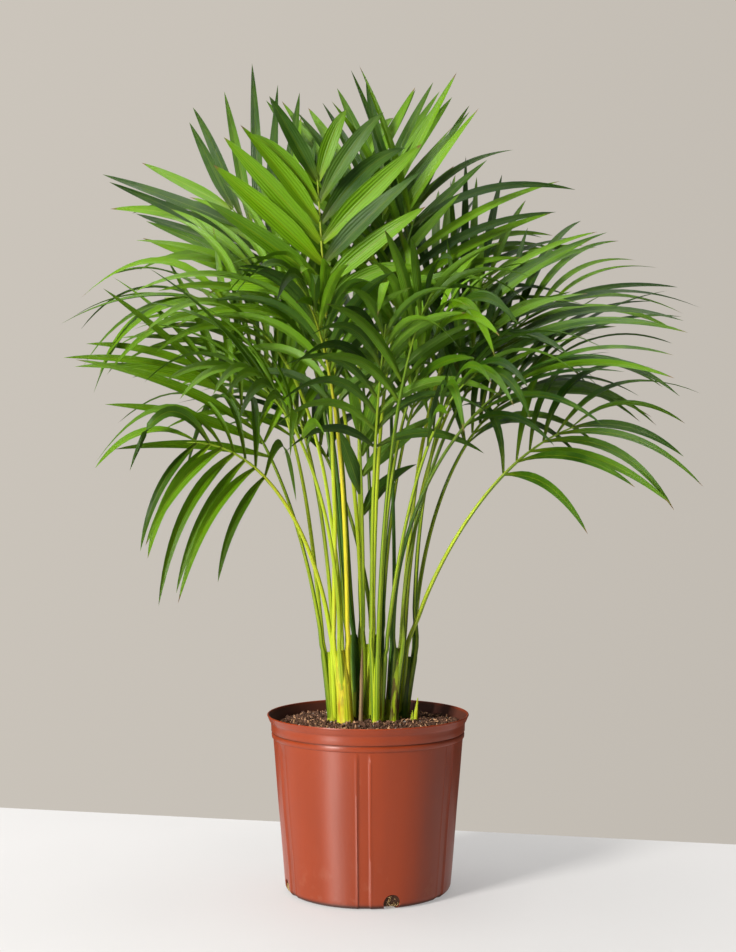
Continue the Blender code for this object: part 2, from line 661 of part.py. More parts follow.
def build_fronds(group):
    """Every frond, from its stalk's foot to its leaflets' tips."""
    feet = stalk_feet()
    axes = np.array([frond_axis(frond, feet[name]) for name, frond in FRONDS.items()])
    shares = np.linspace(0.0, 1.0, AXIS_POINTS)
    radii = np.array([thickness_at(shares, frond.knee) / 2 for frond in FRONDS.values()])
    axes = eased_apart(axes, radii)
    stations = {name: frond_stations(frond, axis) for (name, frond), axis in zip(FRONDS.items(), axes)}
    leaflets = grow_leaflets(stations)
    for name in FRONDS:
        build_frond(name, stations[name], leaflets[name], group)


def main():
    """Builds the whole potted palm."""
    clear_scene()
    palm = new_collection("potted_areca_palm")
    cutters = new_collection("cutters")
    build_pot(palm, cutters)
    build_soil(palm, cutters)
    build_canes(palm)
    build_fronds(palm)


main()
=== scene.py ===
"""Looks for a potted areca palm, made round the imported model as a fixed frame."""

import math
import random
from typing import NamedTuple

import bmesh
import bpy
import numpy as np
from bpy.props import FloatProperty, FloatVectorProperty, IntProperty, PointerProperty
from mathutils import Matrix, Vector, noise
from mathutils.bvhtree import BVHTree


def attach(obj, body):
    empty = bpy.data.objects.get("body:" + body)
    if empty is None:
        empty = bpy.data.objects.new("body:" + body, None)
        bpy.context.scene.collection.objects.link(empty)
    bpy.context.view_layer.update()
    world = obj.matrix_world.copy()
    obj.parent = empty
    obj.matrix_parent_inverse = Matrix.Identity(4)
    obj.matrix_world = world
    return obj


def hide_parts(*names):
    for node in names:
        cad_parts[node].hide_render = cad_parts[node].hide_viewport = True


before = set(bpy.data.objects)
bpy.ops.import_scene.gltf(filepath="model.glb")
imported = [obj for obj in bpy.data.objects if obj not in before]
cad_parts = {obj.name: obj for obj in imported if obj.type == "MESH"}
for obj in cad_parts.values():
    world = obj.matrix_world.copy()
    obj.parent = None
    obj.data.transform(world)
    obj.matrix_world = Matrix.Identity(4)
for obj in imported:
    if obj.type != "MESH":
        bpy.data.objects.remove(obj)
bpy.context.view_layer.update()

bl_info = {
    "name": "Potted Palm",
    "version": (1, 0, 0),
    "blender": (4, 5, 0),
    "location": "View3D > Sidebar > Palm",
    "description": "Makes an areca palm in a nursery grow pot",
    "category": "Add Mesh",
}

# ---------------------------------------------------------------- sizes, as the solids have them

POT_HEIGHT = 0.221
RIM_RADIUS = 0.127
BAND_RADIUS = 0.1225
BODY_TOP_RADIUS = 0.1195
BODY_FOOT_RADIUS = 0.1045
FOOT_ROUND = 0.010
POT_WALL = 0.0018
LIP_HEIGHT = 0.010
BAND_HEIGHT = 0.011
GROOVE_DEPTH = 0.0022
SHOULDER_DROP = 0.030
DRAIN_HOLES = 4
DRAIN_RADIUS = 0.0105
DRAIN_CENTRE_HEIGHT = 0.008
DRAIN_HEADING = 16.0
FIT_GAP = 0.0003
SOIL_EDGE_HEIGHT = 0.204
SOIL_MOUND = 0.006
CANE_BURIED = 0.028
SHOULDER_HEIGHT = POT_HEIGHT - SHOULDER_DROP
LIP_FOOT = POT_HEIGHT - LIP_HEIGHT
BAND_FOOT = LIP_FOOT - BAND_HEIGHT
SOIL_RADIUS = BAND_RADIUS - GROOVE_DEPTH - POT_WALL

STALK_FOOT_THICKNESS = 0.0066
STALK_KNEE_THICKNESS = 0.0046
RIB_TIP_THICKNESS = 0.0016
STALK_GAP = 0.0020
FOOT_RINGS = (0.0, 0.0, 1.0, 1.28, 1.56)
AXIS_POINTS = 41
STALK_STATIONS = 8
EASE_ROUNDS = 110
STALK_ROOM = 1.5
HELD_POINTS = 4
SMOOTH_PASSES = 3

BLADE_THICKNESS = 0.0010
BLADE_CLEARANCE = 0.0006
BASE_SHARE = 0.5
WIDEST_AT = 0.45
SPREAD_AT_TIP = 16.0
SHORTEST_SHARE = 0.62
ROLL_FROM = 0.35
SPLAY_EASE = 0.8
LIFT_LOST = 0.4
SPREAD_SWING = 7.0
LIFT_SWING = 10.0
DROOP_SWING = 0.4
LENGTH_SWING = 0.09
LENGTH_START = 0.12
WIDTH_HELD = 0.6
EARLY_DROOP = 0.25
SAG = 1.5
TURNS_TRIED = ((0, 0), (7, 0), (-7, 0), (0, 8), (0, -8), (12, 8), (-12, 8), (12, -8), (-12, -8),
               (18, 0), (-18, 0), (0, 18), (0, -18), (20, 16), (-20, -16), (28, 0), (-26, 0), (0, 30))
LENGTHS_TRIED = (1.0, 0.82, 0.64)

UP = np.array([0.0, 0.0, 1.0])

# ---------------------------------------------------------------- sizes that only the looks have

FLUTE_HEADING = -92.5
FLUTE_EDGE = 0.0014
BEAD_SHARE = 0.45
BEAD_OFFSET = 0.0008
BEAD_WIDTH = 0.0009
SOIL_FLUFF = 0.002
SOIL_RINGS = 64
GRAIN_WOBBLE = 0.0016
ROOTS_PER_HOLE = 16
ROOT_POINTS = 9
ROOT_LOWEST = 0.0012
ROOT_INSET = 0.0008
CANE_POINTS = 36
CANE_SIDES = 20
CANE_SHARE = 0.3
SHEATH_POINTS = 8
LEAFLET_INSET = 0.0006
BLADE_ROWS = 13
BLADE_COLUMNS = 6
BLADE_WIDEST = 0.34
WEAK_SHARE = 0.16
STURDY_YOUTH = 0.9

TABLE_CORNERS = ((-6.0, -6.0), (6.0, -6.0), (6.0, -0.985), (-6.0, 1.673))
TABLE_THICKNESS = 0.03
TABLE_GLOW = 0.80
TOP_LIGHT_SHARE = 0.19
CAMERA_PLACE = (0.0, -1.95, 0.52)
CAMERA_LENS = 58.4

# ---------------------------------------------------------------- colours that stay as they are

# Painted shade: the dark brown given to the pot's inner wall, for the shade inside the pot.
PAINTED_INSIDE_SHADE = (0.050, 0.020, 0.013)
PERLITE, PERLITE_LIGHT = (0.62, 0.58, 0.52), (0.85, 0.83, 0.78)
ROOT, ROOT_LIGHT = (0.50, 0.33, 0.13), (0.72, 0.56, 0.30)
FIBRE, FIBRE_LIGHT = (0.10, 0.055, 0.028), (0.42, 0.29, 0.15)
STALK_GREEN = (0.030, 0.100, 0.003)
STALK_GOLD = (0.80, 0.66, 0.03)
STALK_STREAK = (0.12, 0.27, 0.006)
RIB_GREEN = (0.17, 0.33, 0.018)
CANE_CREAM = (0.66, 0.55, 0.07)
CANE_RUST = (0.46, 0.175, 0.022)
SCAR_BROWN = (0.105, 0.045, 0.020)
BLADE_UNDER = (0.090, 0.200, 0.022)
BLADE_DRIED = (0.20, 0.115, 0.040)
# Painted shade: near-black green for leaflets that stand for shadow inside the canopy.
BLADE_PAINTED_SHADE = (0.006, 0.028, 0.001)
BLADE_GLOW = (0.42, 0.72, 0.006)
KEY_COLOUR = (1.0, 0.975, 0.94)
TOP_COLOUR = (1.0, 0.99, 0.98)

# ---------------------------------------------------------------- the plant


class Cane(NamedTuple):
    """A stem in the soil: foot and top on plan, height, radii, and how yellow and how brown it is."""
    foot: tuple
    top: tuple
    height: float
    foot_radius: float
    top_radius: float
    yellow: float
    brown: float


class Frond(NamedTuple):
    """A leaf. rise, arch and tip are the handles and end of its curve, as (out, height) on its heading."""
    cane: str
    heading: float
    rise: tuple
    arch: tuple
    tip: tuple
    knee: float
    pairs: int
    length: float
    width: float
    splay: float
    lift: float
    droop: float
    roll: float
    # How young and bright green the leaf looks: partly its real age and partly painted light, as leaves on
    # the left, where the key light falls, are given more and leaves on the right less.
    youth_and_light: float


CANES = {
    "cane_left": Cane((-0.027, -0.020), (-0.034, -0.022), 0.302, 0.0105, 0.0090, 1.05, 0.35),
    "cane_far_left": Cane((-0.043, -0.002), (-0.050, -0.002), 0.298, 0.0070, 0.0062, 0.70, 0.05),
    "cane_behind": Cane((-0.016, 0.013), (-0.018, 0.017), 0.318, 0.0090, 0.0085, 0.15, 0.10),
    "cane_centre": Cane((0.000, -0.004), (0.000, -0.001), 0.308, 0.0062, 0.0060, 0.55, 0.05),
    "cane_front": Cane((0.012, -0.023), (0.013, -0.026), 0.296, 0.0068, 0.0062, 0.85, 0.10),
    "cane_right": Cane((0.028, -0.009), (0.037, -0.010), 0.304, 0.0092, 0.0085, 0.30, 0.85),
    "cane_far_right": Cane((0.043, 0.015), (0.053, 0.015), 0.290, 0.0085, 0.0078, 0.15, 0.30),
    "cane_back": Cane((0.013, 0.032), (0.012, 0.039), 0.316, 0.0090, 0.0082, 0.15, 0.10),
    "dried_stub": Cane((-0.009, -0.016), (-0.007, -0.019), 0.306, 0.0032, 0.0020, 0.30, 1.00),
    "sprout_tall": Cane((0.058, 0.001), (0.063, 0.001), 0.240, 0.0040, 0.0020, 0.80, 0.00),
    "sprout_short": Cane((0.053, -0.012), (0.056, -0.014), 0.226, 0.0034, 0.0018, 0.65, 0.10),
}

# The last column is partly painted light: leaves on the left, where the key light falls, are made younger and
# brighter green.
FRONDS = {
    "frond_top_centre": Frond("cane_left", 205, (-0.005, 0.505), (0.010, 0.700), (0.024, 0.905),
                              0.71, 7, 0.180, 0.0270, 62, 10, 0.10, 115, 0.62),
    "frond_top_left": Frond("cane_behind", 150, (0.023, 0.550), (0.027, 0.745), (0.190, 0.886),
                            0.72, 8, 0.240, 0.0185, 36, 8, 0.05, 70, 0.45),
    "frond_top_back": Frond("cane_behind", 95, (0.009, 0.538), (0.019, 0.757), (0.097, 0.924),
                            0.70, 8, 0.215, 0.0200, 36, 15, 0.10, 10, 0.48),
    "frond_top_ahead": Frond("cane_centre", 70, (0.005, 0.519), (0.009, 0.728), (0.053, 0.920),
                             0.72, 7, 0.205, 0.0190, 38, 15, 0.15, 0, 0.58),
    "frond_top_right": Frond("cane_right", 32, (0.017, 0.484), (-0.035, 0.719), (0.050, 0.880),
                             0.72, 9, 0.235, 0.0130, 50, 12, 0.40, -65, 0.45),
    "frond_right_upper": Frond("cane_back", 40, (0.004, 0.490), (0.019, 0.692), (0.128, 0.820),
                               0.68, 8, 0.205, 0.0115, 45, 20, 0.50, -40, 0.35),
    "frond_right_steep": Frond("cane_right", 28, (0.013, 0.442), (0.023, 0.686), (0.144, 0.791),
                               0.66, 8, 0.210, 0.0120, 40, 20, 0.30, -45, 0.40),
    "frond_right_high": Frond("cane_right", 8, (-0.009, 0.428), (0.060, 0.687), (0.203, 0.744),
                              0.64, 9, 0.235, 0.0125, 36, 18, 0.45, -45, 0.25),
    "frond_right_out": Frond("cane_right", -12, (-0.009, 0.442), (0.064, 0.617), (0.207, 0.663),
                             0.66, 9, 0.235, 0.0125, 38, 18, 0.50, -40, 0.10),
    "frond_right_mid": Frond("cane_far_right", 18, (0.004, 0.416), (0.044, 0.598), (0.172, 0.642),
                             0.66, 8, 0.210, 0.0120, 45, 20, 0.65, -35, 0.15),
    "frond_right_low": Frond("cane_far_right", -18, (0.026, 0.393), (0.112, 0.555), (0.228, 0.584),
                             0.67, 6, 0.215, 0.0125, 62, 12, 0.70, -55, 0.00),
    "frond_right_back": Frond("cane_far_right", 38, (0.004, 0.441), (0.038, 0.632), (0.181, 0.708),
                              0.64, 8, 0.205, 0.0120, 42, 20, 0.40, -30, 0.20),
    "frond_right_front": Frond("cane_front", -42, (0.013, 0.373), (0.048, 0.609), (0.150, 0.642),
                               0.66, 7, 0.215, 0.0140, 40, 15, 0.80, -35, 0.10),
    "frond_front_centre": Frond("cane_front", -80, (-0.008, 0.440), (0.012, 0.590), (0.095, 0.700),
                                0.60, 8, 0.165, 0.0130, 56, 0, 0.75, 0, 0.30),
    "frond_front_right": Frond("cane_front", -58, (0.005, 0.435), (0.033, 0.659), (0.119, 0.735),
                               0.64, 7, 0.170, 0.0140, 48, 15, 0.60, 0, 0.45),
    "frond_front_left": Frond("cane_left", -115, (0.000, 0.444), (0.016, 0.645), (0.103, 0.723),
                              0.64, 7, 0.170, 0.0140, 48, 15, 0.60, 0, 0.45),
    "frond_left_front": Frond("cane_left", 222, (-0.004, 0.411), (0.039, 0.606), (0.154, 0.642),
                              0.66, 8, 0.205, 0.0130, 45, 20, 0.60, 35, 0.85),
    "frond_left_low": Frond("cane_far_left", 208, (0.009, 0.401), (0.073, 0.566), (0.195, 0.560),
                            0.66, 7, 0.185, 0.0150, 76, 0, 1.10, 65, 0.80),
    "frond_left_mid": Frond("cane_far_left", 188, (0.013, 0.399), (0.052, 0.579), (0.148, 0.653),
                            0.64, 8, 0.245, 0.0150, 48, 10, 0.25, 60, 1.00),
    "frond_left_inner": Frond("cane_far_left", 165, (0.018, 0.423), (0.020, 0.612), (0.119, 0.710),
                              0.62, 9, 0.205, 0.0120, 45, 15, 0.55, 50, 0.85),
    "frond_left_out": Frond("cane_left", 180, (0.009, 0.451), (0.019, 0.764), (0.223, 0.743),
                            0.64, 9, 0.215, 0.0120, 32, 20, 0.75, 40, 0.85),
    "frond_left_high": Frond("cane_behind", 168, (0.030, 0.468), (0.000, 0.718), (0.150, 0.797),
                             0.66, 8, 0.215, 0.0145, 36, 15, 0.45, 45, 1.00),
    "frond_back_left": Frond("cane_behind", 128, (0.027, 0.491), (0.013, 0.703), (0.142, 0.827),
                             0.66, 7, 0.200, 0.0160, 40, 20, 0.30, 30, 0.45),
    "frond_back": Frond("cane_back", 100, (0.009, 0.464), (0.050, 0.673), (0.168, 0.757),
                        0.62, 8, 0.190, 0.0150, 45, 25, 0.50, 0, 0.30),
    "frond_back_right": Frond("cane_back", 62, (0.009, 0.443), (0.056, 0.636), (0.183, 0.698),
                              0.64, 8, 0.190, 0.0140, 42, 22, 0.45, -15, 0.25),
    "frond_back_low": Frond("cane_back", 140, (0.009, 0.414), (0.062, 0.583), (0.178, 0.628),
                            0.64, 7, 0.180, 0.0140, 45, 22, 0.70, 20, 0.20),
    "frond_mid_left": Frond("cane_centre", 226, (0.009, 0.463), (0.026, 0.689), (0.117, 0.754),
                            0.68, 7, 0.165, 0.0175, 52, 18, 0.90, 30, 0.70),
    "frond_mid_right": Frond("cane_front", -20, (0.004, 0.441), (0.017, 0.659), (0.108, 0.730),
                             0.68, 7, 0.170, 0.0165, 48, 18, 0.80, -35, 0.60),
    "frond_mid_front": Frond("cane_centre", -65, (0.006, 0.470), (0.018, 0.650), (0.085, 0.735),
                             0.66, 6, 0.150, 0.0175, 58, 18, 1.10, 0, 0.70),
    "frond_right_inner": Frond("cane_far_right", -4, (-0.004, 0.450), (0.020, 0.650), (0.105, 0.715),
                               0.66, 7, 0.175, 0.0150, 46, 15, 0.60, -50, 0.20),
    "frond_left_back": Frond("cane_far_left", 132, (0.010, 0.450), (0.050, 0.650), (0.165, 0.690),
                             0.64, 7, 0.175, 0.0135, 42, 22, 0.60, 25, 0.85),
    "frond_young": Frond("cane_centre", -100, (0.000, 0.400), (0.004, 0.500), (0.024, 0.585),
                         0.56, 5, 0.120, 0.0220, 45, 18, 0.30, 0, 0.40),
}


# ---------------------------------------------------------------- settings a user would change


def length_setting(name, description, default):
    """A setting that is a length in metres."""
    return FloatProperty(name=name, description=description, default=default, unit="LENGTH")


def colour_setting(name, description, default):
    """A setting that is a colour."""
    return FloatVectorProperty(name=name, description=description, default=default, subtype="COLOR")


def count_setting(name, description, default, least=0):
    """A setting that is a count."""
    return IntProperty(name=name, description=description, default=default, min=least)


class PalmPotSettings(bpy.types.PropertyGroup):
    """Finish of the grow pot."""
    flutes: count_setting("Flutes", "Shallow upright channels round the body", 6)
    flute_width: length_setting("Flute width", "Width of a channel", 0.0150)
    flute_depth: length_setting("Flute depth", "Depth of a channel", 0.0014)
    steps: count_setting("Steps", "Divisions round the pot", 480, 24)
    wave: length_setting("Wave", "Unevenness of the thin wall", 0.00035)
    colour: colour_setting("Plastic", "Colour of the plastic", (0.258, 0.034, 0.005))
    dust: colour_setting("Dust", "Colour of the dried splashes", (0.36, 0.13, 0.075))


class PalmSoilSettings(bpy.types.PropertyGroup):
    """Potting mix."""
    relief: length_setting("Relief", "Height of the lumps", 0.0035)
    crumbs: count_setting("Crumbs", "Loose crumbs on the surface", 3600)
    chips: count_setting("Bark chips", "Tan bark chips and fibres", 520)
    perlite: count_setting("Perlite", "White grains", 90)
    colour: colour_setting("Peat", "Colour of damp peat", (0.072, 0.035, 0.021))
    chip_colour: colour_setting("Bark", "Colour of bark chips", (0.50, 0.28, 0.15))


class PalmLeafSettings(bpy.types.PropertyGroup):
    """Leaflets and stalks."""
    fold: FloatProperty(name="Fold", description="How far a blade's halves rise from its midrib",
                        default=0.42)
    twist: FloatProperty(name="Twist", description="Most that a blade turns along its length",
                         subtype="ANGLE", default=0.60)
    thickness: length_setting("Thickness", "Thickness of a blade at its midrib", 0.0005)
    young: colour_setting("Young leaf", "Colour of the newest leaves", (0.160, 0.350, 0.002))
    old: colour_setting("Old leaf", "Colour of the oldest leaves", (0.020, 0.078, 0.002))
    stalk: colour_setting("Stalk", "Colour of sunlit stalks", (0.47, 0.60, 0.018))


class PalmStageSettings(bpy.types.PropertyGroup):
    """Floor, backdrop, lights and camera."""
    wall: colour_setting("Backdrop", "Colour behind the plant", (0.565, 0.525, 0.470))
    floor: colour_setting("Floor", "Colour of the table", (0.420, 0.415, 0.412))
    fill: FloatProperty(name="Fill", description="Strength of the light from all round", default=0.16)
    key_power: FloatProperty(name="Key light", description="Power of the soft key light", default=530.0,
                             unit="POWER")


# ---------------------------------------------------------------- meshes and node trees


def unit(vector):
    """A vector, or rows of vectors, at length one."""
    return vector / np.linalg.norm(vector, axis=-1, keepdims=True)


def add_object(name, data):
    """An object for a mesh, a light or a camera, in the scene."""
    item = bpy.data.objects.new(name, data)
    bpy.context.scene.collection.objects.link(item)
    return item


def shape_mesh(name, shape, smooth=True):
    """A mesh from a bmesh, which is freed."""
    mesh = bpy.data.meshes.new(name)
    for face in shape.faces:
        face.smooth = smooth
    shape.to_mesh(mesh)
    shape.free()
    return mesh


def evaluated_mesh(item):
    """The mesh that an object's modifiers make. The object itself is removed."""
    bpy.context.view_layer.update()
    evaluated = item.evaluated_get(bpy.context.evaluated_depsgraph_get())
    mesh = bpy.data.meshes.new_from_object(evaluated)
    bpy.data.objects.remove(item, do_unlink=True)
    return mesh


def finish_piece(name, mesh, nodes):
    """A finished piece that rides on the plant's one body and stands for its CAD nodes."""
    mesh.name = name
    piece = add_object(name, mesh)
    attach(piece, "root")
    if nodes:
        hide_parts(*nodes)


def add_node(tree, kind, inputs=None, **settings):
    """A node with its properties set, and its inputs given as values or as sockets to link."""
    made = tree.nodes.new(kind)
    for name, value in settings.items():
        setattr(made, name, value)
    for key, value in (inputs or {}).items():
        if isinstance(value, bpy.types.NodeSocket):
            tree.links.new(value, made.inputs[key])
        else:
            made.inputs[key].default_value = value
    return made


def maths(tree, operation, *values):
    """The result socket of a Math node."""
    return add_node(tree, "ShaderNodeMath", dict(enumerate(values)), operation=operation).outputs[0]


def times(tree, first, second):
    """One number times another."""
    return maths(tree, "MULTIPLY", first, second)


def plus(tree, first, second):
    """One number added to another."""
    return maths(tree, "ADD", first, second)


def raised(tree, height):
    """A vector straight up, as long as a number says."""
    return add_node(tree, "ShaderNodeCombineXYZ", {2: height}).outputs[0]


def vectors(tree, operation, *values):
    """The vector result of a Vector Math node."""
    return add_node(tree, "ShaderNodeVectorMath", dict(enumerate(values)), operation=operation).outputs[0]


def scaled(tree, vector, amount):
    """A vector times a number."""
    return add_node(tree, "ShaderNodeVectorMath", {0: vector, "Scale": amount}, operation="SCALE").outputs[0]


def new_tree(name, sockets):
    """A geometry node tree with a geometry in and out and named inputs of (kind, default)."""
    tree = bpy.data.node_groups.new(name, "GeometryNodeTree")
    tree.interface.new_socket("Geometry", in_out="INPUT", socket_type="NodeSocketGeometry")
    for label, (kind, default) in sockets.items():
        socket = tree.interface.new_socket(label, in_out="INPUT", socket_type="NodeSocket" + kind)
        if default is not None:
            socket.default_value = default
    tree.interface.new_socket("Geometry", in_out="OUTPUT", socket_type="NodeSocketGeometry")
    start = tree.nodes.new("NodeGroupInput").outputs
    return tree, {socket.name: socket for socket in start if socket.name}


def close_tree(tree, geometry):
    """Ends a geometry node tree with its result."""
    add_node(tree, "NodeGroupOutput", {0: geometry})
    return tree


def use_tree(item, tree, values):
    """Gives an object a geometry node modifier, with its inputs set by their identifiers."""
    modifier = item.modifiers.new(tree.name, "NODES")
    modifier.node_group = tree
    for socket in tree.interface.items_tree:
        if socket.in_out == "INPUT" and socket.name in values:
            modifier[socket.identifier] = values[socket.name]


def named(tree, name, kind="FLOAT"):
    """A named attribute's value in a geometry node tree."""
    made = add_node(tree, "GeometryNodeInputNamedAttribute", {"Name": name}, data_type=kind)
    return made.outputs["Attribute"]


def set_attribute(mesh, name, kind, values):
    """Writes one value for each vertex to a mesh."""
    made = mesh.attributes.new(name, kind, "POINT")
    field = "vector" if kind == "FLOAT_VECTOR" else "value"
    made.data.foreach_set(field, np.asarray(values, dtype=np.float32).ravel())


# ---------------------------------------------------------------- materials


class Finish:
    """A material under construction: its tree, its Principled shader and shorthand for its nodes."""

    def __init__(self, name, **sockets):
        self.material = bpy.data.materials.new(name)
        self.material.use_nodes = True
        self.tree = self.material.node_tree
        self.shader = self.tree.nodes["Principled BSDF"]
        self.place = self.tree.nodes.new("ShaderNodeTexCoord").outputs["Object"]
        for key, value in sockets.items():
            self.shader.inputs[key.replace("_", " ")].default_value = value

    def attribute(self, name, output="Fac"):
        """A mesh attribute's value."""
        return add_node(self.tree, "ShaderNodeAttribute", attribute_name=name).outputs[output]

    def noise(self, scale, detail=3.0, stretch=(1.0, 1.0, 1.0), roughness=0.5):
        """A noise pattern on Object coordinates, stretched along the axes."""
        place = vectors(self.tree, "MULTIPLY", self.place, stretch)
        made = add_node(self.tree, "ShaderNodeTexNoise",
                        {"Vector": place, "Scale": scale, "Detail": detail, "Roughness": roughness})
        return made.outputs["Fac"]

    def grain(self, across, along, detail=3.0, shift=0.0):
        """Noise that follows a strand: so many features round it, and so many in its whole length."""
        ring = scaled(self.tree, self.attribute("ring", "Vector"), across)
        rise = self.plus(self.times(self.attribute("along"), along),
                         self.times(self.attribute("tone"), 37.0 + shift))
        place = vectors(self.tree, "ADD", ring, raised(self.tree, rise))
        made = add_node(self.tree, "ShaderNodeTexNoise", {"Vector": place, "Scale": 1.0, "Detail": detail})
        return made.outputs["Fac"]

    def ramp(self, value, low, high, start=0.0, end=1.0):
        """A value mapped from low..high to start..end, smoothly."""
        return add_node(self.tree, "ShaderNodeMapRange",
                        {"Value": value, "From Min": low, "From Max": high, "To Min": start, "To Max": end},
                        interpolation_type="SMOOTHSTEP").outputs["Result"]

    def mix(self, share, first, second, blend="MIX"):
        """A mix of two colours."""
        made = add_node(self.tree, "ShaderNodeMix", data_type="RGBA", blend_type=blend)
        for key, value in ((0, share), (6, first), (7, second)):
            if isinstance(value, bpy.types.NodeSocket):
                self.tree.links.new(value, made.inputs[key])
            else:
                made.inputs[key].default_value = value
        return made.outputs[2]

    def maths(self, operation, *values):
        """The result of a Math node."""
        return maths(self.tree, operation, *values)

    def times(self, first, second):
        """One number times another."""
        return times(self.tree, first, second)

    def plus(self, first, second):
        """One number added to another."""
        return plus(self.tree, first, second)

    def set(self, key, socket):
        """Links a result to the shader."""
        self.tree.links.new(socket, self.shader.inputs[key])

    def bump(self, height, distance, strength=1.0, under=None):
        """Bump from a height, over an earlier bump. Returns the normal."""
        inputs = {"Height": height, "Distance": distance, "Strength": strength}
        if under:
            inputs["Normal"] = under
        normal = add_node(self.tree, "ShaderNodeBump", inputs).outputs["Normal"]
        self.set("Normal", normal)
        return normal


def rgba(colour, factor=1.0):
    """A colour with alpha, made lighter or darker."""
    return (colour[0] * factor, colour[1] * factor, colour[2] * factor, 1.0)


def plastic_finish(settings):
    """Satin moulded plastic: flow streaks up the wall, faint scuffs and dried splashes near the foot, and
    painted shade that darkens the inner wall.
    """
    made = Finish("pot_plastic", Specular_IOR_Level=0.55, Anisotropic=0.85, Anisotropic_Rotation=0.25)
    around = add_node(made.tree, "ShaderNodeTangent", direction_type="RADIAL", axis="Z")
    made.set("Tangent", around.outputs[0])
    flow = made.noise(26.0, 4.0, (1.0, 1.0, 0.05))
    cloud = made.noise(9.0, 3.0)
    speck = made.noise(420.0, 2.0)
    height = add_node(made.tree, "ShaderNodeSeparateXYZ", {0: made.place}).outputs["Z"]
    low = made.ramp(height, 0.0, 0.07, 1.0, 0.0)
    splash = made.times(made.ramp(made.noise(60.0, 5.0), 0.56, 0.70), low)
    scuff = made.ramp(made.noise(90.0, 6.0, (1.0, 1.0, 0.25), 0.7), 0.64, 0.72)
    colour = made.mix(made.ramp(flow, 0.3, 0.7), rgba(settings.colour, 0.90), rgba(settings.colour, 1.10))
    colour = made.mix(made.ramp(cloud, 0.35, 0.7, 0.0, 0.35), colour, rgba(settings.colour, 1.22))
    colour = made.mix(made.times(splash, 0.35), colour, rgba(settings.dust))
    colour = made.mix(made.times(scuff, 0.22), colour, rgba(settings.dust, 1.15))
    inside = made.attribute("inside")
    # Painted shade: the inner wall is darkened towards a near-black brown.
    made.set("Base Color", made.mix(made.times(inside, 0.86), colour, rgba(PAINTED_INSIDE_SHADE)))
    rough = made.plus(made.ramp(flow, 0.3, 0.7, 0.36, 0.43), made.times(inside, 0.5))
    rough = made.plus(rough, made.times(scuff, 0.16))
    made.set("Roughness", made.plus(rough, made.times(splash, 0.15)))
    coarse = made.bump(flow, 0.0006, 0.35)
    made.bump(speck, 0.00012, 0.5, coarse)
    return made.material


def soil_finish(name, colour, light, roughness):
    """Damp crumbly mix, mottled between a dark and a lighter tone."""
    made = Finish(name, Specular_IOR_Level=0.25)
    grain = made.noise(520.0, 6.0, roughness=0.7)
    patch = made.noise(60.0, 3.0)
    tone = made.mix(made.ramp(grain, 0.38, 0.66), rgba(colour, 0.7), rgba(light))
    made.set("Base Color", made.mix(made.ramp(patch, 0.38, 0.58, 0.0, 0.85), tone, rgba(colour, 0.9)))
    made.set("Roughness", made.ramp(grain, 0.3, 0.7, roughness, 1.0))
    made.bump(grain, 0.0012, 0.9)
    return made.material


def stalk_finish(settings):
    """Waxy stalks: green and yellow-green bands, brown at scars, cream at the soil, fine lines along."""
    made = Finish("stalk_skin", Specular_IOR_Level=0.32, Coat_Weight=0.06, Coat_Roughness=0.25)
    yellow, brown, along = made.attribute("yellow"), made.attribute("brown"), made.attribute("along")
    streak = made.grain(5.0, 3.0, 4.0)
    band = made.grain(0.9, 2.2, 2.0, 5.0)
    mottle = made.grain(1.3, 16.0, 4.0, 11.0)
    rusty = made.grain(1.1, 9.0, 4.0, 23.0)
    cane = made.attribute("is_cane")
    warmth = made.plus(yellow, made.times(made.maths("SUBTRACT", band, 0.5), 1.5))
    colour = made.mix(made.ramp(warmth, 0.05, 0.75), rgba(STALK_GREEN), rgba(settings.stalk))
    colour = made.mix(made.ramp(warmth, 0.80, 1.35, 0.0, 0.85), colour, rgba(STALK_GOLD))
    colour = made.mix(made.ramp(streak, 0.48, 0.72, 0.0, 0.40), colour, rgba(STALK_STREAK))
    colour = made.mix(made.ramp(along, 0.40, 0.95, 0.0, 0.65), colour, rgba(RIB_GREEN))
    base = made.ramp(along, 0.030, 0.085, 0.70, 0.0)
    colour = made.mix(made.times(base, cane), colour, rgba(CANE_CREAM))
    rust = made.times(made.ramp(rusty, 0.47, 0.64), made.ramp(along, 0.08, 0.30, 0.80, 0.0))
    colour = made.mix(made.times(rust, made.times(cane, yellow)), colour, rgba(CANE_RUST))
    scar = made.times(made.ramp(mottle, 0.48, 0.58), brown)
    made.set("Base Color", made.mix(scar, colour, rgba(SCAR_BROWN)))
    made.set("Roughness", made.plus(made.ramp(streak, 0.3, 0.7, 0.28, 0.42), made.times(scar, 0.35)))
    made.bump(made.plus(streak, made.times(scar, 0.4)), 0.0016, 0.7)
    return made.material


def dried_finish():
    """Papery dead sheath, split along its fibres."""
    made = Finish("dried_sheath", Specular_IOR_Level=0.2)
    fibre = made.grain(4.0, 6.0, 5.0)
    made.set("Base Color", made.mix(made.ramp(fibre, 0.35, 0.68), rgba(FIBRE), rgba(FIBRE_LIGHT)))
    made.set("Roughness", made.ramp(fibre, 0.3, 0.7, 0.65, 0.9))
    made.bump(fibre, 0.0010, 0.9)
    return made.material


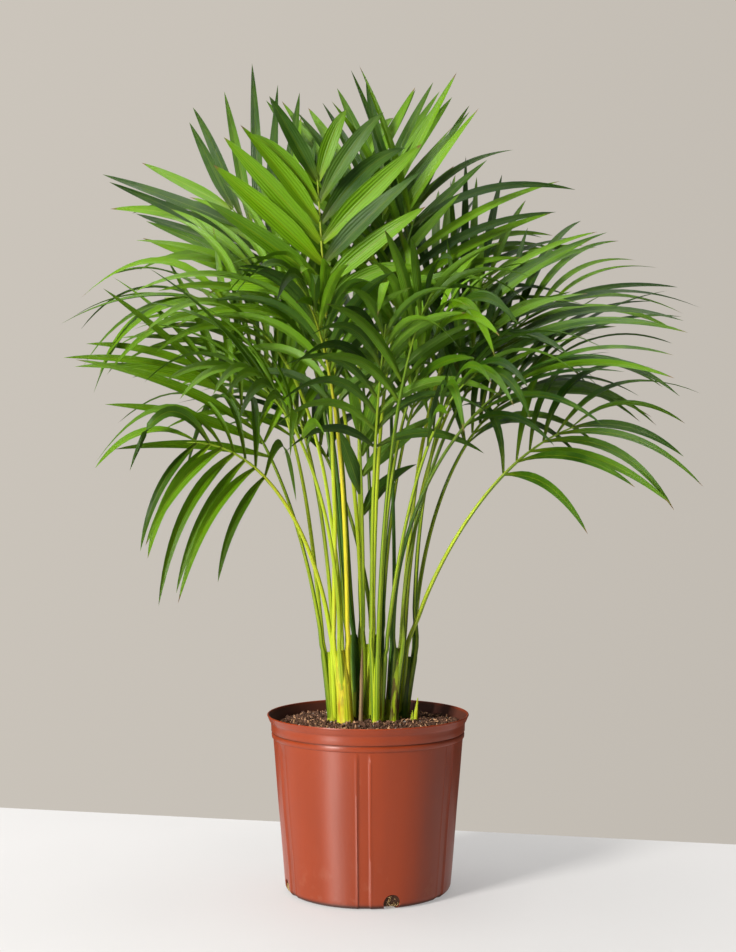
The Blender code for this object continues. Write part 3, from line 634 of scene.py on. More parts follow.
def leaf_finish(settings):
    """Waxy leaflets: parallel veins, paler midrib and underside, mottling, tips dried a little, an
    old-to-young blend that is partly painted light, and painted shade on some leaflets.
    """
    made = Finish("leaf_blade", Specular_IOR_Level=0.28, Coat_Weight=0.04, Coat_Roughness=0.28)
    vein, along = made.attribute("vein"), made.attribute("blade_along")
    youth_and_light, shade, under = made.attribute("youth_and_light"), made.attribute("shade"), made.attribute("under")
    ribs = made.maths("SINE", made.times(vein, 21.0))
    fine = made.maths("SINE", made.times(vein, 67.0))
    cloud = made.noise(28.0, 4.0)
    fleck = made.noise(260.0, 3.0)
    # Partly painted light: leaves on the lit left side get a younger, brighter green, leaves on the right an
    # older, darker one.
    age = made.plus(youth_and_light, made.maths("SUBTRACT", shade, 0.5))
    colour = made.mix(made.ramp(age, 0.0, 1.0), rgba(settings.old), rgba(settings.young))
    colour = made.mix(made.ramp(cloud, 0.35, 0.70, 0.0, 0.40), colour, rgba(settings.young, 0.85))
    colour = made.mix(made.ramp(along, 0.0, 0.22, 0.45, 0.0), colour, rgba(settings.stalk, 0.55))
    colour = made.mix(made.times(made.ramp(ribs, -0.2, 1.0), 0.22), colour, rgba(settings.old, 0.75))
    middle = made.ramp(made.maths("ABSOLUTE", vein), 0.0, 0.085, 0.55, 0.0)
    colour = made.mix(middle, colour, rgba(settings.stalk, 0.60))
    colour = made.mix(made.times(under, 0.30), colour, rgba(BLADE_UNDER))
    colour = made.mix(made.ramp(fleck, 0.68, 0.78, 0.0, 0.30), colour, rgba(settings.stalk, 0.50))
    near_tip = made.ramp(made.plus(along, made.times(fleck, 0.05)), 0.965, 1.01)
    colour = made.mix(made.times(near_tip, made.ramp(shade, 0.45, 0.75)), colour, rgba(BLADE_DRIED))
    # Painted shade: leaflets picked at random, more of them on older leaves, are darkened almost to black to
    # stand for shadow inside the canopy.
    painted_shade = made.times(made.ramp(shade, 0.0, 0.50, 0.72, 0.0), made.ramp(youth_and_light, 0.3, 1.0, 1.0, 0.3))
    colour = made.mix(painted_shade, colour, rgba(BLADE_PAINTED_SHADE))
    made.set("Base Color", colour)
    made.set("Roughness", made.ramp(cloud, 0.3, 0.7, 0.30, 0.45))
    made.bump(made.plus(ribs, made.times(fine, 0.35)), 0.00040, 0.6)
    glow = add_node(made.tree, "ShaderNodeBsdfTranslucent",
                    {"Color": made.mix(0.45, colour, rgba(BLADE_GLOW))})
    both = add_node(made.tree, "ShaderNodeMixShader",
                    {0: 0.15, 1: made.shader.outputs[0], 2: glow.outputs[0]})
    made.tree.links.new(both.outputs[0], made.tree.nodes["Material Output"].inputs["Surface"])
    return made.material


def floor_finish(settings):
    """Matte painted table top, very slightly mottled, with a glow that stands for light from all round."""
    made = Finish("table_top", Specular_IOR_Level=0.25, Emission_Strength=TABLE_GLOW)
    cloud = made.noise(3.0, 4.0)
    patch = made.ramp(cloud, 0.3, 0.7)
    made.set("Base Color", made.mix(patch, rgba(settings.floor, 0.985), rgba(settings.floor)))
    made.set("Emission Color", made.mix(patch, rgba(settings.floor, 0.99), rgba(settings.floor)))
    made.set("Roughness", made.ramp(cloud, 0.3, 0.7, 0.62, 0.72))
    return made.material


# ---------------------------------------------------------------- growth, the same rules as the solids


def mean_heading(degrees):
    """The mean direction of some headings, in radians."""
    turns = [math.radians(degree) for degree in degrees]
    return math.atan2(sum(math.sin(turn) for turn in turns), sum(math.cos(turn) for turn in turns))


def turn_from(start, end):
    """The turn from one direction to another, between minus and plus half a turn."""
    return (end - start + math.pi) % math.tau - math.pi


def stalk_feet():
    """Where each frond's stalk starts: side by side on the top of its cane."""
    feet = {}
    for cane_name, cane in CANES.items():
        names = [name for name, frond in FRONDS.items() if frond.cane == cane_name]
        middle = mean_heading([FRONDS[name].heading for name in names])
        names.sort(key=lambda name: turn_from(middle, math.radians(FRONDS[name].heading)))
        ring = FOOT_RINGS[len(names)] * (STALK_FOOT_THICKNESS / 2 + STALK_GAP)
        for name in names:
            turn = middle + math.tau * (names.index(name) - (len(names) - 1) / 2) / len(names)
            feet[name] = np.array([cane.top[0] + ring * math.cos(turn),
                                   cane.top[1] + ring * math.sin(turn),
                                   cane.height + STALK_GAP])
    return feet


def frond_axis(frond, foot):
    """Points along a frond's stalk and rib, on a Bezier curve in the upright plane of its heading."""
    t = np.linspace(0.0, 1.0, AXIS_POINTS)[:, None]
    ends = [np.array([0.0, foot[2]]), np.array(frond.rise), np.array(frond.arch), np.array(frond.tip)]
    shares = [(1 - t) ** 3, 3 * t * (1 - t) ** 2, 3 * t * t * (1 - t), t ** 3]
    flat = sum(share * end for share, end in zip(shares, ends))
    heading = math.radians(frond.heading)
    forward = np.array([math.cos(heading), math.sin(heading)])
    return np.column_stack([foot[:2] + flat[:, :1] * forward, flat[:, 1]])


def thickness_at(share, knee):
    """Thickness of a stalk or rib at a share of its length."""
    return np.interp(share, (0.0, knee, 1.0),
                     (STALK_FOOT_THICKNESS, STALK_KNEE_THICKNESS, RIB_TIP_THICKNESS))


def eased_apart(axes, radii):
    """The stalks after each has pushed its neighbours aside. Their feet stay on the canes."""
    count, steps = axes.shape[:2]
    owner = np.repeat(np.arange(count), steps)
    others = owner[:, None] != owner[None, :]
    reach = radii.reshape(-1)
    wanted = STALK_ROOM * (reach[:, None] + reach[None, :]) + STALK_GAP
    hold = np.clip(np.arange(steps) / HELD_POINTS, 0.0, 1.0)[None, :, None]
    for _ in range(EASE_ROUNDS):
        points = axes.reshape(-1, 3)
        apart = points[:, None] - points[None, :]
        distance = np.linalg.norm(apart, axis=2) + 1e-9
        short = np.clip(wanted - distance, 0.0, None) * others
        push = (apart * (short / distance)[..., None]).sum(axis=1).reshape(axes.shape) / 2
        for _ in range(SMOOTH_PASSES):
            padded = np.concatenate([push[:, :1], push, push[:, -1:]], axis=1)
            push = (padded[:, :-2] + 2 * padded[:, 1:-1] + padded[:, 2:]) / 4
        axes = axes + push * hold
    return axes


class Stations(NamedTuple):
    """Cross-sections along one frond: centre, tangent, right-hand side, upper face and thickness."""
    centre: np.ndarray
    along: np.ndarray
    side: np.ndarray
    face: np.ndarray
    thickness: np.ndarray


def frond_stations(frond, axis):
    """Sections for the stalk, then a start and an end section for each pair of leaflets."""
    slot = (1.0 - frond.knee) / frond.pairs
    shares = list(np.linspace(0.0, frond.knee, STALK_STATIONS, endpoint=False))
    for pair in range(frond.pairs):
        shares += [frond.knee + slot * pair, frond.knee + slot * (pair + BASE_SHARE)]
    shares = np.array(shares)
    places = np.linspace(0.0, 1.0, AXIS_POINTS)
    centre = np.column_stack([np.interp(shares, places, axis[:, k]) for k in range(3)])
    slope = np.gradient(axis, axis=0)
    along = unit(np.column_stack([np.interp(shares, places, slope[:, k]) for k in range(3)]))
    heading = math.radians(frond.heading)
    level = np.array([math.sin(heading), -math.cos(heading), 0.0])
    side = unit(level - along * (along @ level)[:, None])
    face = np.cross(side, along)
    rolled = np.clip((shares / frond.knee - ROLL_FROM) / (1 - ROLL_FROM), 0, 1)[:, None]
    roll = math.radians(frond.roll) * rolled
    side, face = side * np.cos(roll) + face * np.sin(roll), face * np.cos(roll) - side * np.sin(roll)
    return Stations(centre, along, side, face, thickness_at(shares, frond.knee))


class Leaflet(NamedTuple):
    """A blade: the two ends of its base, the two edges at its widest and its tip."""
    near: np.ndarray
    far: np.ndarray
    edge_near: np.ndarray
    edge_far: np.ndarray
    tip: np.ndarray


def leaflet_shape(frond, stations, pair, hand, turn, scale, chance):
    """One leaflet on one side of a pair, turned by (spread, lift) degrees from its usual direction."""
    share = (pair + 0.5) / frond.pairs
    first = STALK_STATIONS + 2 * pair
    out = hand * stations.side[first:first + 2]
    near, far = stations.centre[first:first + 2] + out * stations.thickness[first:first + 2, None] / 2
    along, side, face = stations.along[first], out[0], stations.face[first]
    spread = math.radians(frond.splay + (SPREAD_AT_TIP - frond.splay) * share ** SPLAY_EASE
                          + turn[0] + chance.uniform(-SPREAD_SWING, SPREAD_SWING))
    lift = math.radians(frond.lift * (1 - LIFT_LOST * share)
                        + turn[1] + chance.uniform(-LIFT_SWING, LIFT_SWING))
    aim = math.cos(spread) * along + math.sin(spread) * (math.cos(lift) * side + math.sin(lift) * face)
    sagging = SAG * max(0.0, -aim[2])
    droop = frond.droop * chance.uniform(1 - DROOP_SWING, 1 + DROOP_SWING) * (1 + sagging)
    fullness = math.sin(math.pi * (LENGTH_START + (1 - LENGTH_START) * share))
    size = SHORTEST_SHARE + (1 - SHORTEST_SHARE) * fullness
    length = frond.length * size * scale * chance.uniform(1 - LENGTH_SWING, 1 + LENGTH_SWING)
    first_half = unit(aim - UP * droop * EARLY_DROOP * (1 + sagging))
    second_half = unit(aim - UP * droop)
    base = (near + far) / 2
    middle = base + first_half * length * WIDEST_AT
    tip = middle + second_half * length * (1 - WIDEST_AT)
    half_width = frond.width / 2 * (WIDTH_HELD + (1 - WIDTH_HELD) * size)
    across = unit(along - first_half * (along @ first_half)) * half_width
    return Leaflet(near, far, middle - across, middle + across, tip)


def blade_hull(leaflet, base_half):
    """A closed prism round a leaflet, thicker by the clearance, for finding what it would touch."""
    centre = (leaflet.edge_near + leaflet.edge_far) / 2
    across = leaflet.edge_far - leaflet.edge_near
    normal = unit(np.cross(centre - leaflet.near, across))
    half = BLADE_THICKNESS / 2 + BLADE_CLEARANCE
    rows = [(leaflet.near, base_half + BLADE_CLEARANCE), (leaflet.far, base_half + BLADE_CLEARANCE),
            (leaflet.edge_far, half), (leaflet.tip, half), (leaflet.edge_near, half)]
    upper = [point + normal * reach for point, reach in rows]
    lower = [point - normal * reach for point, reach in rows]
    walls = [(i, (i + 1) % 5, (i + 1) % 5 + 5, i + 5) for i in range(5)]
    caps = [(0, 1, 2, 4), (2, 3, 4), (5, 6, 7, 9), (7, 8, 9)]
    return upper + lower, caps + walls


def stalk_hull(stations):
    """A closed four-sided tube round a whole stalk and rib."""
    points, faces = [], []
    for row in range(len(stations.centre)):
        half = stations.thickness[row] / 2 + BLADE_CLEARANCE
        for side, face in ((-1, -1), (1, -1), (1, 1), (-1, 1)):
            points.append(stations.centre[row] + half * (side * stations.side[row]
                                                         + face * stations.face[row]))
        if row:
            first = 4 * (row - 1)
            faces += [(first + k, first + (k + 1) % 4, first + 4 + (k + 1) % 4, first + 4 + k)
                      for k in range(4)]
    return points, faces


class Crowd:
    """Everything placed so far, for asking whether a new hull would touch any of it."""

    def __init__(self):
        self.trees, self.lows, self.highs, self.owners = [], [], [], []

    def add(self, hull, owner):
        """Places a hull. owner names the frond whose own leaflets ignore it, or is None."""
        points = np.array(hull[0])
        self.trees.append(BVHTree.FromPolygons([tuple(p) for p in points], hull[1]))
        self.lows.append(points.min(axis=0))
        self.highs.append(points.max(axis=0))
        self.owners.append(owner)

    def touches(self, hull, owner):
        """Whether a hull meets anything that its own frond doesn't ignore."""
        points = np.array(hull[0])
        near = ((np.array(self.lows) < points.max(axis=0))
                & (np.array(self.highs) > points.min(axis=0))).all(axis=1)
        tree = BVHTree.FromPolygons([tuple(p) for p in points], hull[1])
        return any(self.owners[i] != owner and tree.overlap(self.trees[i]) for i in np.nonzero(near)[0])


def grow_leaflets(stations):
    """Every frond's leaflets, each turned or shortened until it touches nothing already grown."""
    crowd = Crowd()
    for name in FRONDS:
        crowd.add(stalk_hull(stations[name]), name)
    grown = {name: {} for name in FRONDS}
    for name, frond in FRONDS.items():
        for pair in reversed(range(frond.pairs)):
            for hand in (-1, 1):
                leaflet, hull = first_free(frond, stations[name], pair, hand, name, crowd)
                if leaflet:
                    crowd.add(hull, None)
                    grown[name][pair, hand] = leaflet
    return grown


def first_free(frond, stations, pair, hand, name, crowd):
    """The first leaflet shape, over the lengths and turns tried, that touches nothing."""
    half = stations.thickness[STALK_STATIONS + 2 * pair] / 2
    for scale in LENGTHS_TRIED:
        for turn in TURNS_TRIED:
            chance = random.Random(f"{name} {pair} {hand}")
            leaflet = leaflet_shape(frond, stations, pair, hand, turn, scale, chance)
            hull = blade_hull(leaflet, half)
            if not crowd.touches(hull, name):
                return leaflet, hull
    return None, None


# ---------------------------------------------------------------- pot


def wall_radius(height):
    """Outer radius of the pot's plain tapered body at a height."""
    share = (height - FOOT_ROUND) / (SHOULDER_HEIGHT - FOOT_ROUND)
    return BODY_FOOT_RADIUS + share * (BODY_TOP_RADIUS - BODY_FOOT_RADIUS)


def arc(centre, radius, start, end, count):
    """Points on an arc, with angles in degrees from +radius, counter-clockwise."""
    turns = [math.radians(start + (end - start) * step / (count - 1)) for step in range(count)]
    return [(centre[0] + radius * math.cos(turn), centre[1] + radius * math.sin(turn)) for turn in turns]


def run(start, end, count):
    """Points on a straight line, without its first point."""
    return [(start[0] + (end[0] - start[0]) * step / count, start[1] + (end[1] - start[1]) * step / count)
            for step in range(1, count + 1)]


def pot_profile():
    """The wall's section: up the inside, over the rolled lip, and down the banded outside to the middle."""
    foot = wall_radius(FOOT_ROUND)
    inner_foot = foot - POT_WALL
    roll = POT_WALL * 0.62
    points = [(0.0, POT_WALL)] + run((0.0, POT_WALL), (inner_foot - FOOT_ROUND, POT_WALL), 6)
    points += arc((inner_foot - FOOT_ROUND, POT_WALL + FOOT_ROUND), FOOT_ROUND, -90, 0, 6)[1:]
    points += run(points[-1], (BODY_TOP_RADIUS - POT_WALL, SHOULDER_HEIGHT), 26)
    points += [(SOIL_RADIUS, BAND_FOOT - 0.0015),
               (SOIL_RADIUS + 0.0003, BAND_FOOT + 0.001),
               (BAND_RADIUS - POT_WALL - 0.0003, LIP_FOOT - 0.002),
               (BAND_RADIUS - POT_WALL + 0.0006, LIP_FOOT + 0.0008),
               (RIM_RADIUS - POT_WALL - 0.0016, POT_HEIGHT - 0.0040)]
    points += arc((RIM_RADIUS - roll, POT_HEIGHT - roll), roll, 180, -55, 9)
    points += [(RIM_RADIUS - 0.0013, POT_HEIGHT - 0.0042),
               (BAND_RADIUS + 0.0017, LIP_FOOT + 0.0022),
               (BAND_RADIUS + 0.0008, LIP_FOOT + 0.0010),
               (BAND_RADIUS + 0.0001, LIP_FOOT + 0.0002),
               (BAND_RADIUS - 0.0002, LIP_FOOT - 0.0012),
               (BAND_RADIUS - 0.0004, LIP_FOOT - 0.0050),
               (BAND_RADIUS - 0.0005, BAND_FOOT + 0.0008),
               (BAND_RADIUS - 0.0009, BAND_FOOT + 0.0002),
               (BAND_RADIUS - GROOVE_DEPTH, BAND_FOOT - 0.0006),
               (BAND_RADIUS - GROOVE_DEPTH, BAND_FOOT - 0.0013),
               (BAND_RADIUS - 0.0013, BAND_FOOT - 0.0022),
               (BAND_RADIUS - 0.0009, BAND_FOOT - 0.0036),
               (BAND_RADIUS - 0.0012, SHOULDER_HEIGHT + 0.0022),
               (BAND_RADIUS - 0.0017, SHOULDER_HEIGHT + 0.0013),
               (BODY_TOP_RADIUS + 0.0001, SHOULDER_HEIGHT + 0.0006),
               (BODY_TOP_RADIUS, SHOULDER_HEIGHT - 0.0005)]
    points += run(points[-1], (foot, FOOT_ROUND), 26)
    points += arc((foot - FOOT_ROUND, FOOT_ROUND), FOOT_ROUND, 0, -90, 8)[1:]
    return points + run(points[-1], (0.0, 0.0), 6)


def turned_mesh(name, profile, steps):
    """A closed solid of revolution round Z, from a profile that starts and ends on the axis."""
    mesh = bpy.data.meshes.new(name)
    mesh.from_pydata([(radius, 0.0, height) for radius, height in profile],
                     chain(len(profile)), [])
    item = add_object(name, mesh)
    screw = item.modifiers.new("turn", "SCREW")
    screw.steps = steps
    screw.render_steps = steps
    screw.use_merge_vertices = True
    screw.merge_threshold = 0.00001
    screw.use_smooth_shade = True
    return evaluated_mesh(item)


def mould_pot(mesh, settings):
    """Presses the flutes into the body, and makes the thin wall a little uneven."""
    count = len(mesh.vertices)
    points = np.empty(count * 3)
    mesh.vertices.foreach_get("co", points)
    points = points.reshape(count, 3)
    radius = np.hypot(points[:, 0], points[:, 1])
    turn = np.degrees(np.arctan2(points[:, 1], points[:, 0]))
    height = points[:, 2]
    outside = radius > BODY_FOOT_RADIUS - FOOT_ROUND
    on_body = np.clip((SHOULDER_HEIGHT - 0.0005 - height) / 0.002, 0, 1) * outside
    slot = 360.0 / max(1, settings.flutes)
    away = np.abs((turn - FLUTE_HEADING + slot / 2) % slot - slot / 2)
    reach = np.radians(away) * radius
    edge = np.clip((settings.flute_width / 2 - reach) / FLUTE_EDGE, 0, 1)
    inward = settings.flute_depth * (edge * edge * (3 - 2 * edge)) * on_body
    bead = np.exp(-((reach - settings.flute_width / 2 - BEAD_OFFSET) / BEAD_WIDTH) ** 2)
    inward -= settings.flute_depth * BEAD_SHARE * bead * on_body
    for row in range(count):
        place = Vector(points[row])
        inward[row] += settings.wave * noise.noise(Vector((place.x * 9, place.y * 9, place.z * 14)))
    share = np.where(radius > 0.02, (radius - inward) / np.maximum(radius, 1e-9), 1.0)
    points[:, 0] *= share
    points[:, 1] *= share
    mesh.vertices.foreach_set("co", points.ravel())
    mesh.update()
    # Marks the inner wall, which the finish darkens as painted shade and makes matte.
    levels = (FOOT_ROUND, SHOULDER_HEIGHT, SHOULDER_HEIGHT + 0.001, LIP_FOOT, POT_HEIGHT - 0.004)
    radii = (wall_radius(FOOT_ROUND), BODY_TOP_RADIUS, BAND_RADIUS - 0.0015, BAND_RADIUS, RIM_RADIUS - 0.0010)
    outer = np.interp(height, levels, radii)
    set_attribute(mesh, "inside", "FLOAT", np.clip((outer - radius) / 0.0008 - 0.9, 0, 1))


def drain_headings():
    """Which way each drain hole faces, in radians."""
    return [math.radians(DRAIN_HEADING + 360.0 * index / DRAIN_HOLES) for index in range(DRAIN_HOLES)]


def drain_cutters():
    """Cylinders lying along radii, through the wall's rounded foot."""
    shape = bmesh.new()
    reach = BODY_FOOT_RADIUS - FOOT_ROUND / 2
    for heading in drain_headings():
        outward = Vector((math.cos(heading), math.sin(heading), 0.0))
        turn = outward.to_track_quat("Z", "Y").to_matrix().to_4x4()
        turn.translation = (reach * math.cos(heading), reach * math.sin(heading), DRAIN_CENTRE_HEIGHT)
        bmesh.ops.create_cone(shape, cap_ends=True, segments=48, radius1=DRAIN_RADIUS, radius2=DRAIN_RADIUS,
                              depth=FOOT_ROUND * 2.4, matrix=turn)
    return add_object("drain_cutters", shape_mesh("drain_cutters", shape, False))


class PALM_OT_make_pot(bpy.types.Operator):
    """Makes the moulded pot shell with its lip, bands, flutes and drain holes"""
    bl_idname = "palm.make_pot"
    bl_label = "Grow pot"

    def execute(self, context):
        """Turns, moulds and pierces the shell."""
        settings = context.scene.palm_pot
        mesh = turned_mesh("grow_pot_shell", pot_profile(), settings.steps)
        mould_pot(mesh, settings)
        pot = add_object("grow_pot_blank", mesh)
        cutter = drain_cutters()
        boolean = pot.modifiers.new("drain_holes", "BOOLEAN")
        boolean.operation = "DIFFERENCE"
        boolean.object = cutter
        made = evaluated_mesh(pot)
        bpy.data.objects.remove(cutter, do_unlink=True)
        made.set_sharp_from_angle(angle=math.radians(50))
        made.materials.clear()
        made.materials.append(plastic_finish(settings))
        finish_piece("grow_pot_shell", made, ["grow_pot"])
        return {"FINISHED"}


# ---------------------------------------------------------------- soil


def soil_height(x, y):
    """Height of the soil's plain surface at a place on plan."""
    return SOIL_EDGE_HEIGHT + SOIL_MOUND * (1 - (math.hypot(x, y) / SOIL_RADIUS) ** 2)


def soil_lump(x, y, relief):
    """How far the soil rises or sinks from its plain surface at a place."""
    coarse = noise.fractal(Vector((x * 42, y * 42, 3.0)), 1.0, 2.0, 3)
    fine = noise.fractal(Vector((x * 170, y * 170, 8.0)), 0.8, 2.0, 3)
    return relief * (0.65 * coarse + 0.35 * fine)


def soil_mesh(settings):
    """The whole body of soil, closed, with a lumpy top."""
    edge = SOIL_RADIUS - 2 * FIT_GAP
    foot = wall_radius(FOOT_ROUND) - POT_WALL - FIT_GAP
    profile = [(edge * ring / SOIL_RINGS, soil_height(edge * ring / SOIL_RINGS, 0.0) + SOIL_FLUFF)
               for ring in range(SOIL_RINGS + 1)]
    profile += [(BODY_TOP_RADIUS - POT_WALL - FIT_GAP, SHOULDER_HEIGHT), (foot, FOOT_ROUND + POT_WALL)]
    inner = POT_WALL + FIT_GAP
    profile += arc((foot - FOOT_ROUND, inner + FOOT_ROUND), FOOT_ROUND, 0, -90, 5)[1:] + [(0.0, inner)]
    mesh = turned_mesh("soil_bed", profile, 200)
    for vertex in mesh.vertices:
        x, y, z = vertex.co
        if z > SOIL_EDGE_HEIGHT - 0.001:
            fading = min(1.0, (edge - math.hypot(x, y)) / 0.004 + 0.2)
            vertex.co.z += soil_lump(x, y, settings.relief) * fading
    mesh.update()
    return mesh


def scatter_tree():
    """Loose grains on a surface: points, a rough lump on each of random size and turn, then real meshes."""
    tree, into = new_tree("loose_grains", {
        "Density": ("Float", 1000.0), "Smallest": ("Float", 0.001), "Largest": ("Float", 0.003),
        "Stretch": ("Float", 1.0), "Lift": ("Float", 0.0), "Seed": ("Int", 1),
        "Material": ("Material", None)})
    points = add_node(tree, "GeometryNodeDistributePointsOnFaces",
                      {"Mesh": into["Geometry"], "Density": into["Density"], "Seed": into["Seed"]})
    turn = add_node(tree, "FunctionNodeRandomValue", {"Min": (0.0, 0.0, 0.0), "Max": (math.tau,) * 3,
                                                     "Seed": into["Seed"]}, data_type="FLOAT_VECTOR")
    size = add_node(tree, "FunctionNodeRandomValue", {2: into["Smallest"], 3: into["Largest"],
                                                     "Seed": plus(tree, into["Seed"], 7)},
                    data_type="FLOAT")
    long = times(tree, size.outputs[1], into["Stretch"])
    flat = times(tree, size.outputs[1], 0.7)
    scale = add_node(tree, "ShaderNodeCombineXYZ", {0: long, 1: size.outputs[1], 2: flat}).outputs[0]
    lump = add_node(tree, "GeometryNodeMeshIcoSphere", {"Radius": 0.5, "Subdivisions": 1})
    placed = add_node(tree, "GeometryNodeInstanceOnPoints",
                      {"Points": points.outputs["Points"], "Instance": lump.outputs[0],
                       "Rotation": turn.outputs[0], "Scale": scale})
    real = add_node(tree, "GeometryNodeRealizeInstances", {0: placed.outputs[0]}).outputs[0]
    wobble = add_node(tree, "ShaderNodeTexNoise", {"Scale": 900.0, "Detail": 1.0}).outputs["Color"]
    centred = scaled(tree, vectors(tree, "SUBTRACT", wobble, (0.5, 0.5, 0.5)), GRAIN_WOBBLE)
    shift = vectors(tree, "ADD", centred, raised(tree, into["Lift"]))
    moved = add_node(tree, "GeometryNodeSetPosition", {"Geometry": real, "Offset": shift}).outputs[0]
    done = add_node(tree, "GeometryNodeSetMaterial", {"Geometry": moved, "Material": into["Material"]})
    return close_tree(tree, done.outputs[0])


def grain_ground(settings):
    """The lumpy top of the soil alone, to scatter on."""
    shape = bmesh.new()
    bmesh.ops.create_circle(shape, cap_ends=True, cap_tris=True, segments=96, radius=SOIL_RADIUS - 0.003)
    bmesh.ops.subdivide_edges(shape, edges=shape.edges[:], cuts=5, use_grid_fill=True)
    for vertex in shape.verts:
        x, y, _ = vertex.co
        vertex.co.z = soil_height(x, y) + SOIL_FLUFF + soil_lump(x, y, settings.relief)
    return shape_mesh("grain_ground", shape)


def scatter(name, tree, settings, count, smallest, largest, stretch, lift, seed, material):
    """One kind of loose grain over the soil, as a piece of its own."""
    item = add_object(name, grain_ground(settings))
    density = count / (math.pi * SOIL_RADIUS ** 2)
    use_tree(item, tree, {"Density": density, "Smallest": smallest, "Largest": largest,
                          "Stretch": stretch, "Lift": lift, "Seed": seed, "Material": material})
    finish_piece(name, evaluated_mesh(item), [])


def foot_radius(height):
    """Outer radius of the pot's rounded foot at a height."""
    lean = math.acos(max(0.0, 1 - height / FOOT_ROUND))
    return wall_radius(FOOT_ROUND) - FOOT_ROUND * (1 - math.sin(lean))


def grow_roots(material):
    """Pale roots that curl in the mouth of every drain hole."""
    chance = random.Random(5)
    points, lines, girth, along = [], [], [], []
    for heading in drain_headings():
        cosine, sine = math.cos(heading), math.sin(heading)
        for _ in range(ROOTS_PER_HOLE):
            turn, reach = chance.uniform(0, math.tau), chance.uniform(0.2, 0.8) * DRAIN_RADIUS
            swing, bend = chance.uniform(-3.0, 3.0), chance.uniform(0.0006, 0.0032)
            thick = chance.uniform(0.00022, 0.00055)
            for step in range(ROOT_POINTS):
                share = step / (ROOT_POINTS - 1)
                angle = turn + swing * (share - 0.5)
                across = reach * math.cos(angle)
                height = max(ROOT_LOWEST, DRAIN_CENTRE_HEIGHT + reach * math.sin(angle))
                out = foot_radius(height) - POT_WALL + bend * math.sin(math.pi * share) - ROOT_INSET
                if step:
                    lines.append((len(points) - 1, len(points)))
                points.append((cosine * out - sine * across, sine * out + cosine * across, height))
                girth.append(thick * (1 - 0.6 * share))
                along.append(share)
    mesh = bpy.data.meshes.new("drain_roots")
    mesh.from_pydata(points, lines, [])
    set_attribute(mesh, "girth", "FLOAT", girth)
    set_attribute(mesh, "along", "FLOAT", along)
    item = add_object("drain_roots", mesh)
    use_tree(item, strand_tree(), {"Sides": 6, "Material": material})
    finish_piece("drain_roots", evaluated_mesh(item), [])


class PALM_OT_make_soil(bpy.types.Operator):
    """Makes the potting mix with its crumbs, bark chips and perlite"""
    bl_idname = "palm.make_soil"
    bl_label = "Soil"

    def execute(self, context):
        """Builds the bed, then scatters each kind of grain on it."""
        settings = context.scene.palm_soil
        peat = soil_finish("potting_mix", settings.colour, rgba(settings.colour, 3.2), 0.8)
        bark = soil_finish("bark_chips", settings.chip_colour, rgba(settings.chip_colour, 1.5), 0.7)
        white = soil_finish("perlite", PERLITE, PERLITE_LIGHT, 0.75)
        bed = soil_mesh(settings)
        bed.materials.append(peat)
        finish_piece("soil_bed", bed, ["soil"])
        tree = scatter_tree()
        scatter("soil_crumbs", tree, settings, settings.crumbs, 0.0010, 0.0050, 1.3, 0.0004, 3, peat)
        scatter("soil_lumps", tree, settings, settings.crumbs / 8, 0.0040, 0.0085, 1.2, 0.0006, 5, peat)
        scatter("soil_bark", tree, settings, settings.chips, 0.0008, 0.0030, 3.0, 0.0014, 11, bark)
        scatter("soil_perlite", tree, settings, settings.perlite, 0.0009, 0.0024, 1.1, 0.0016, 23, white)
        grow_roots(soil_finish("root_skin", ROOT, ROOT_LIGHT, 0.5))
        return {"FINISHED"}


# ---------------------------------------------------------------- canes and fronds


def strand_tree():
    """A round stalk along a line, as thick as the line's girth says."""
    tree, into = new_tree("stalk_along_line", {"Sides": ("Int", 10), "Material": ("Material", None)})
    done = strand_nodes(tree, into["Geometry"], into["Sides"], into["Material"])
    return close_tree(tree, done)


def strand_nodes(tree, line, sides, material):
    """The nodes that sweep a ring along a line of edges. Returns the stalk's geometry."""
    curve = add_node(tree, "GeometryNodeMeshToCurve", {"Mesh": line}).outputs[0]
    ring = add_node(tree, "GeometryNodeCurvePrimitiveCircle", {"Resolution": sides, "Radius": 1.0}).outputs[0]
    place = tree.nodes.new("GeometryNodeInputPosition").outputs[0]
    ring = add_node(tree, "GeometryNodeStoreNamedAttribute",
                    {"Geometry": ring, "Name": "ring", "Value": place},
                    data_type="FLOAT_VECTOR", domain="POINT").outputs[0]
    sweep = add_node(tree, "GeometryNodeCurveToMesh", {
        "Curve": curve, "Profile Curve": ring, "Scale": named(tree, "girth"), "Fill Caps": True})
    smooth = add_node(tree, "GeometryNodeSetShadeSmooth", {"Geometry": sweep.outputs[0]}).outputs[0]
    return add_node(tree, "GeometryNodeSetMaterial", {"Geometry": smooth, "Material": material}).outputs[0]


